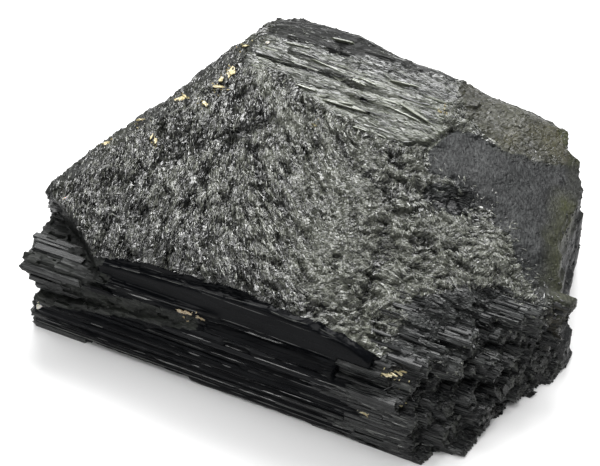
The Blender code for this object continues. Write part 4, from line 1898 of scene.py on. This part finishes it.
@dataclass
class SplinteredEnd:
    """Bars of the crystal's fibres that broke off at different lengths.

    Attributes:
        outward: +1 for the right end and -1 for the left.
        area: The kind of surface that they stand in, which names the piece.
        sizes: Their sizes.
        calm_from: The Y behind which they hardly stand out.
        lying: How many thin bars lie along the sides of the others.
        length: How long a bar is, most of it sunk in the crystal.
    """

    outward: float
    area: str
    sizes: tuple[Fibres, ...]
    calm_from: float
    lying: int = 0
    length: float = 11.0

    def build(self, surface: Surface) -> None:
        """Builds and dresses the piece.

        Args:
            surface: The crystal's surface.
        """
        pick = np.random.default_rng(SEED + (30 if self.outward > 0 else 31))
        stones = Stones.none()
        for size in self.sizes:
            self._add_size(stones, surface, size, pick)
        if self.lying:
            self._add_lying(stones, surface, pick)
        finished(stones, surface, f"{self.area}_end_fibres", Stone.SPLINTERED, Stone.BROKEN_TIP)

    def _add_lying(self, stones: Stones, surface: Surface, pick: Random) -> None:
        """Adds thin bars along the crystal's axis, let into the sides of the others.

        Args:
            stones: Where they are added.
            surface: The crystal's surface.
            pick: The source of their differences.
        """
        count = self.lying
        areas = surface.areas
        weight = apart(areas[self.area], areas["tips"]) + areas["frayed"]
        weight = weight * fall(areas["edge"], 0.1, 0.3)
        places, facing, _ = surface.scatter(weight, count, pick)
        length = 1.4 + 5 * pick.random(count) ** 2
        for number, place in enumerate(places):
            start = Vector((self.outward * NEAR, place[1], place[2]))
            outermost = surface.touch(start, Vector((-self.outward, 0, 0)))
            if outermost is not None:
                beyond = self.outward * (place[0] - outermost.x) + length[number] / 2 - 0.3
                place[0] -= self.outward * max(beyond, 0)
        facing[:, 0] *= 0.2
        along = np.array((self.outward, 0, 0)) + pick.normal(0, 0.02, (count, 3))
        seats = Seats.facing(places, unit(facing), along)
        width = 0.2 + 0.5 * pick.random(count) ** 2.5
        size = np.stack([length, width, width * pick.uniform(0.5, 0.9, count)], axis=1)
        tones = np.clip(0.05 + 0.95 * pick.random(count) ** 4, 0, 1)
        stones.add_bars(seats, size, tones, pick, 0.8)

    def _add_size(self, stones: Stones, surface: Surface, size: Fibres, pick: Random) -> None:
        """Adds all the bars of one size.

        Args:
            stones: Where they are added.
            surface: The crystal's surface.
            size: Their size.
            pick: The source of their differences.
        """
        towards = Vector((-self.outward, 0, 0))
        found = []
        across = (sum(size.width) / 2, sum(size.height) / 2)
        for y in np.arange(surface.lowest[1], surface.highest[1], across[0]):
            for z in np.arange(surface.lowest[2] + across[1], surface.highest[2], across[1]):
                jitter = pick.uniform(-0.4, 0.4, 2) * across
                start = Vector((self.outward * NEAR, y + jitter[0], z + jitter[1]))
                place = surface.touch(start, towards, self.area)
                share = size.share * (1 if y < self.calm_from - 3 or size.width[1] < 1.5 else 0)
                if pick.random() < share and place is not None:
                    found.append(place)
        count = len(found)
        length = self.length * pick.uniform(0.6, 1, count)
        proud = size.proud[0] + (size.proud[1] - size.proud[0]) * pick.random(count) ** 1.5
        centres = np.array(found)
        calm = ease(centres[:, 1], self.calm_from - 3, self.calm_from)
        proud = apart(proud, calm) + np.minimum(0.15 * proud, -0.2) * calm
        centres[:, 0] += self.outward * (proud - length / 2)
        along = np.array((self.outward, 0, 0)) + pick.normal(0, 0.006, (count, 3))
        roll = np.radians(pick.normal(0, 7, count))
        out = np.stack([np.zeros(count), np.sin(roll), np.cos(roll)], axis=1)
        seats = Seats.facing(centres, out, along)
        width = pick.uniform(*size.width, count)
        sizes = np.stack([length, width, pick.uniform(*size.height, count)], axis=1)
        tones = np.clip(pick.normal(0.2, 0.2, count), 0, 1)
        stones.add_bars(seats, sizes, tones, pick, 0.6)


class Side(Enum):
    """The side that something is on, as its two directions along the surface and the one out."""

    TOP = (RIGHTWARD, BACKWARD, UP)
    FRONT = (RIGHTWARD, UP, FRONTWARD)


@dataclass(frozen=True)
class Fleck:
    """One fleck of mica.

    Attributes:
        place: Its place along its side's two directions.
        length: Its length in millimetres.
        width: Its width.
        turn: How it is turned, in degrees.
        crumbs: How many crumbs lie round it.
        side: The side that it is on.
    """

    place: Span
    length: float
    width: float
    turn: float
    crumbs: int = 6
    side: Side = Side.TOP


CRUMB = ((0.2, 0.6), (0.12, 0.3), (0, 180))
"""The least and the most of a crumb's length, width and turn."""


@dataclass
class MicaFlecks:
    """The flecks of mica caught on the crystal.

    Attributes:
        kind: The kind of mica.
        flecks: The flecks.
        thickness: How thick a fleck is.
    """

    kind: Mica
    flecks: tuple[Fleck, ...]
    thickness: float = 0.14

    def build(self, surface: Surface) -> None:
        """Builds and dresses the piece.

        Args:
            surface: The crystal's surface.
        """
        pick = np.random.default_rng(SEED + 40 + list(Mica).index(self.kind))
        stones = Stones.none()
        for fleck in self.flecks:
            for _ in range(3):
                shift = pick.normal(0, 0.16, 2) * (fleck.length, fleck.width)
                leaf = self._beside(fleck, shift, fleck.length * 0.95, fleck.width * 0.95, fleck.turn)
                self._add_plate(stones, surface, leaf, pick)
            for _ in range(fleck.crumbs):
                shift = pick.normal(0, 0.8, 2)
                crumb = self._beside(fleck, shift, *(pick.uniform(*span) for span in CRUMB))
                self._add_plate(stones, surface, crumb, pick)
        made = stones.mesh_object(f"{self.kind.value.name}_flecks", surface)
        made.data.materials.append(self.kind.value.material())
        settle(made)

    def _beside(self, fleck: Fleck, shift: Array, length: float, width: float, turn: float) -> Fleck:
        """Another fleck, shifted along the same side."""
        place = (fleck.place[0] + shift[0], fleck.place[1] + shift[1])
        return Fleck(place, length, width, turn, 0, fleck.side)

    def _add_plate(self, stones: Stones, surface: Surface, fleck: Fleck, pick: Random) -> None:
        """Adds one thin, bent, ragged plate, lying on the stone.

        Args:
            stones: Where it is added.
            surface: The crystal's surface.
            fleck: Its place and size.
            pick: The source of its differences.
        """
        along, across, out = (Vector(axis) for axis in fleck.side.value)
        start = along * fleck.place[0] + across * fleck.place[1] + out * FAR
        found = surface.touch(start, -out)
        if found is None:
            return
        corners = 9
        angle = np.linspace(0, 2 * math.pi, corners, endpoint=False)
        ragged = pick.uniform(0.5, 1, corners)
        flat = np.stack([np.cos(angle) * fleck.length, np.sin(angle) * fleck.width], axis=1)
        flat = flat * ragged[:, None] / 2
        turn = math.radians(fleck.turn)
        turned = flat @ np.array([(math.cos(turn), math.sin(turn)), (-math.sin(turn), math.cos(turn))])
        lift = 0.08 + 0.1 * fleck.length * (flat[:, 0] / fleck.length) ** 2 + pick.uniform(0, 0.3, corners)
        axes = np.array(fleck.side.value)
        rim = np.column_stack([turned, lift]) @ axes + np.array(found)
        centre = np.array(found) + 0.2 * axes[2]
        drop = self.thickness * axes[2]
        points = np.concatenate([rim, rim - drop, [centre], [centre - drop]])
        top, bottom = 2 * corners, 2 * corners + 1
        triangles = []
        for i in range(corners):
            j = (i + 1) % corners
            triangles += [
                (top, i, j), (bottom, corners + j, corners + i),
                (i, corners + i, corners + j), (i, corners + j, j),
            ]
        stones.add(points, np.array(triangles), np.full(len(points), 0.5))


# ---- the studio


def towards(azimuth: float, elevation: float) -> Vector:
    """The direction from the crystal to what stands at these angles, in degrees."""
    a, e = math.radians(azimuth), math.radians(elevation)
    return Vector((math.sin(a) * math.cos(e), -math.cos(a) * math.cos(e), math.sin(e)))


def aim(data: bpy.types.ID, place: Vector, back: Vector) -> Piece:
    """Puts a light or a camera in the scene.

    Args:
        data: The light or the camera.
        place: Where it stands, in metres.
        back: The direction from what it looks at to it.

    Returns:
        Its object.
    """
    made = linked(data.name, data)
    made.location = place
    made.rotation_mode = "QUATERNION"
    made.rotation_quaternion = back.to_track_quat("Z", "Y")
    return made


@dataclass(frozen=True)
class SoftBox:
    """One large soft light.

    Attributes:
        name: Its name.
        azimuth: Where it stands round the crystal, in degrees, where 0 is in front and 90 at the right.
        elevation: How high it stands, in degrees.
        distance: How far it is, in metres.
        size: Its width in metres.
        power: Its power in watts.
    """

    name: str
    azimuth: float
    elevation: float
    distance: float
    size: float
    power: float

    def build(self, target: Vector) -> None:
        """Hangs the light and points it at the target.

        Args:
            target: The point that it lights, in metres.
        """
        lamp = bpy.data.lights.new(self.name, "AREA")
        lamp.shape = "SQUARE"
        lamp.size = self.size
        lamp.energy = self.power
        back = towards(self.azimuth, self.elevation)
        aim(lamp, target + back * self.distance, back)


@dataclass
class Studio:
    """The camera, the floor and the lights.

    Attributes:
        azimuth: Where the camera stands round the crystal, in degrees.
        elevation: How high it stands, in degrees.
        distance: How far it is from its target, in millimetres.
        target: The point that it looks at, in millimetres.
        lens: Its focal length in millimetres.
        floor_size: The floor's width in metres.
        floor_colour: The floor's colour.
        sky: How bright the room is.
    """

    azimuth: float = 24.5
    elevation: float = 45.0
    distance: float = 259.8
    target: Triple = (-4.439, -5.454, 12)
    lens: float = 90.0
    floor_size: float = 6.0
    floor_colour: Triple = (0.86, 0.86, 0.86)
    sky: float = 0.26

    def build(self) -> None:
        """Builds the camera, the floor and the lights."""
        self._camera()
        self._floor()
        centre = Vector(self.target) * MM
        for box in (
            SoftBox("back_light", 204, 50, 0.8, 0.42, 6.6),
            SoftBox("back_left_light", 250, 58, 0.8, 0.26, 1.6),
            SoftBox("back_right_light", 160, 52, 0.8, 0.3, 3),
            SoftBox("top_light", 20, 84, 0.9, 0.4, 3.4),
            SoftBox("front_light", -22, 30, 1, 0.3, 1.4),
        ):
            box.build(centre)
        world = bpy.context.scene.world or bpy.data.worlds.new("room")
        bpy.context.scene.world = world
        world.use_nodes = True
        background = world.node_tree.nodes["Background"]
        background.inputs["Color"].default_value = (1, 1, 1, 1)
        background.inputs["Strength"].default_value = self.sky
        bpy.context.scene.view_settings.view_transform = "Standard"

    def _camera(self) -> None:
        """Makes the scene's camera."""
        data = bpy.data.cameras.new("camera")
        data.lens = self.lens
        data.clip_start, data.clip_end = 0.01, 20
        back = towards(self.azimuth, self.elevation)
        place = (Vector(self.target) + back * self.distance) * MM
        bpy.context.scene.camera = aim(data, place, back)

    def _floor(self) -> None:
        """Lays the floor just under the crystal."""
        half = self.floor_size / 2 / MM
        drop = -0.02
        corners = ((-half, -half), (half, -half), (half, half), (-half, half))
        points = np.array([(*corner, drop) for corner in corners])
        made = new_object("floor", points, np.array([(0, 1, 2), (0, 2, 3)]))
        paint = Shading("floor_paint")
        look = {"Base Color": self.floor_colour, "Roughness": 0.9, "Specular IOR Level": 0.1}
        paint.feed(paint.shader, look)
        made.data.materials.append(paint.material)


# ---- the whole piece


RIB_BEDS = (
    RibBed("strip_ribs", "strip", Stone.STRIATED, UP, BACKWARD, (8.5, 23), (-27, 15), (0.3, 0.9),
        (0.04, 0.15), (1.6, 11), 1.3, 2, (-0.4, 0.3), (0.38, 0.22), 54),
    RibBed("front_ribs", "faces", Stone.RIB, FRONTWARD, UP, (0.2, 16), (-45, 30), (0.12, 0.24),
        (0.06, 0.14), (3, 30), 8, 0.5, (-0.42, -0.2), (0.05, 0.3), 50),
    RibBed("front_folds", "faces", Stone.PRISM, FRONTWARD, UP, (0.4, 16), (-45, 30), (0.6, 1.6),
        (0.1, 0.35), (6, 40), 1.1, 0.3, (-0.3, 0.3), (0.45, 0.3), 57),
    RibBed("blade_ribs", "blade", Stone.RIB, FRONTWARD, UP, (16.2, 22.6), (-31, 20), (0.1, 0.16),
        (0.03, 0.07), (2, 12), 30, 0.5, (-0.42, -0.2), (-0.3, 0.1), 51),
    RibBed("end_ribs", "right", Stone.RIB, FRONTWARD, UP, (0.3, 18), (12, 45), (0.1, 0.24),
        (0.06, 0.16), (1.2, 9), 1.1, 0.5, (-0.42, -0.1), (0.6, 0.4), 55),
    RibBed("end_top_ribs", "right", Stone.SPLINTERED, UP, BACKWARD, (-34, -3), (16, 45), (0.2, 0.6),
        (0.08, 0.2), (1.2, 6), 1.6, 0.6, (-0.3, 0.3), (0.3, 0.3), 56),
    RibBed("back_ribs", "faces", Stone.PRISM, BACKWARD, UP, (0.4, 26), (-45, 45), (0.4, 1.1),
        (0.06, 0.24), (6, 40), 0.8, 0.2, (-0.4, 0.4), (0.45, 0.3), 52),
    RibBed("under_ribs", "faces", Stone.PRISM, DOWN, BACKWARD, (-33.5, 26), (-45, 46), (0.6, 1.8),
        (0.05, 0.14), (8, 60), 0.8, 0.2, (-0.4, 0.4), (0.45, 0.3), 53),
)
SPLINTERED_ENDS = (
    SplinteredEnd(
        1, "right",
        (Fibres((1.2, 2.6), (0.9, 1.7), (-1.2, 0.4), 0.4), Fibres((0.6, 1.2), (0.4, 0.9), (-0.9, 0.2), 0.3)),
        calm_from=-2, lying=1800,
    ),
    SplinteredEnd(
        -1, "left",
        (
            Fibres((0.8, 2), (0.6, 1.3), (-0.6, 0.25), 0.6),
            Fibres((0.3, 0.7), (0.25, 0.5), (-0.3, 0.3), 0.35),
        ),
        calm_from=60,
    ),
)
FLECKS = {
    Mica.GOLDEN: (
        Fleck((-26.2, 12.4), 3, 1.5, 112, 10),
        Fleck((-26.8, 10.4), 2, 0.9, 100, 4),
        Fleck((-26.3, 8.2), 3.4, 0.6, 20, 6),
        Fleck((-31.6, 3.4), 2.4, 1, 60, 10),
        Fleck((-31, 4.2), 1.6, 0.5, 140, 4),
        Fleck((-26.7, 3.2), 1.8, 0.8, 140, 6),
        Fleck((-30.8, -7.6), 2, 0.8, 110, 7),
        Fleck((-39.8, -9.2), 1.7, 0.6, 50, 5),
        Fleck((-36.4, -3), 1.2, 0.35, 30, 5),
        Fleck((-26.9, 20.6), 1.5, 0.5, 30, 6),
        Fleck((-35.4, -6.3), 0.9, 0.4, 20, 3),
        Fleck((-7.4, 7.3), 0.9, 0.25, 0, 2),
        Fleck((11.1, 19.4), 0.8, 0.3, 20, 7),
        Fleck((22.4, 15.4), 3, 0.9, -4, 8, Side.FRONT),
        Fleck((24.4, 15), 2, 1.1, -4, 4, Side.FRONT),
        Fleck((25.2, 11.2), 1.2, 0.3, -4, 3, Side.FRONT),
        Fleck((19.6, 7.6), 1.4, 0.25, -4, 3, Side.FRONT),
    ),
    Mica.TAN: (
        Fleck((-12.6, 15.4), 2.4, 0.6, -8, 3, Side.FRONT),
        Fleck((-9.6, 15.3), 1.6, 0.35, -8, 3, Side.FRONT),
    ),
    Mica.PALE: (
        Fleck((-39.6, -23.2), 1, 0.4, 60, 2),
        Fleck((-23.5, 22.3), 1.2, 0.5, 70, 2),
        Fleck((-40.3, 5.4), 1.6, 1, 40, 2, Side.FRONT),
    ),
}


def main() -> None:
    """Builds the crystal and its studio."""
    logging.basicConfig(level=logging.INFO, format="%(name)s: %(message)s")
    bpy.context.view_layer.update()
    regions = Regions()
    surface = CrystalBody(regions).build()
    for grain in Grain:
        BreakSplinters(regions, grain).build(surface)
    StriatedStrip().build(surface)
    for bed in RIB_BEDS:
        bed.build(surface)
    BladeEdge().build(surface)
    for splintered in SPLINTERED_ENDS:
        splintered.build(surface)
    for kind, flecks in FLECKS.items():
        MicaFlecks(kind, flecks).build(surface)
    Studio().build()


if __name__ == "__main__":
    main()
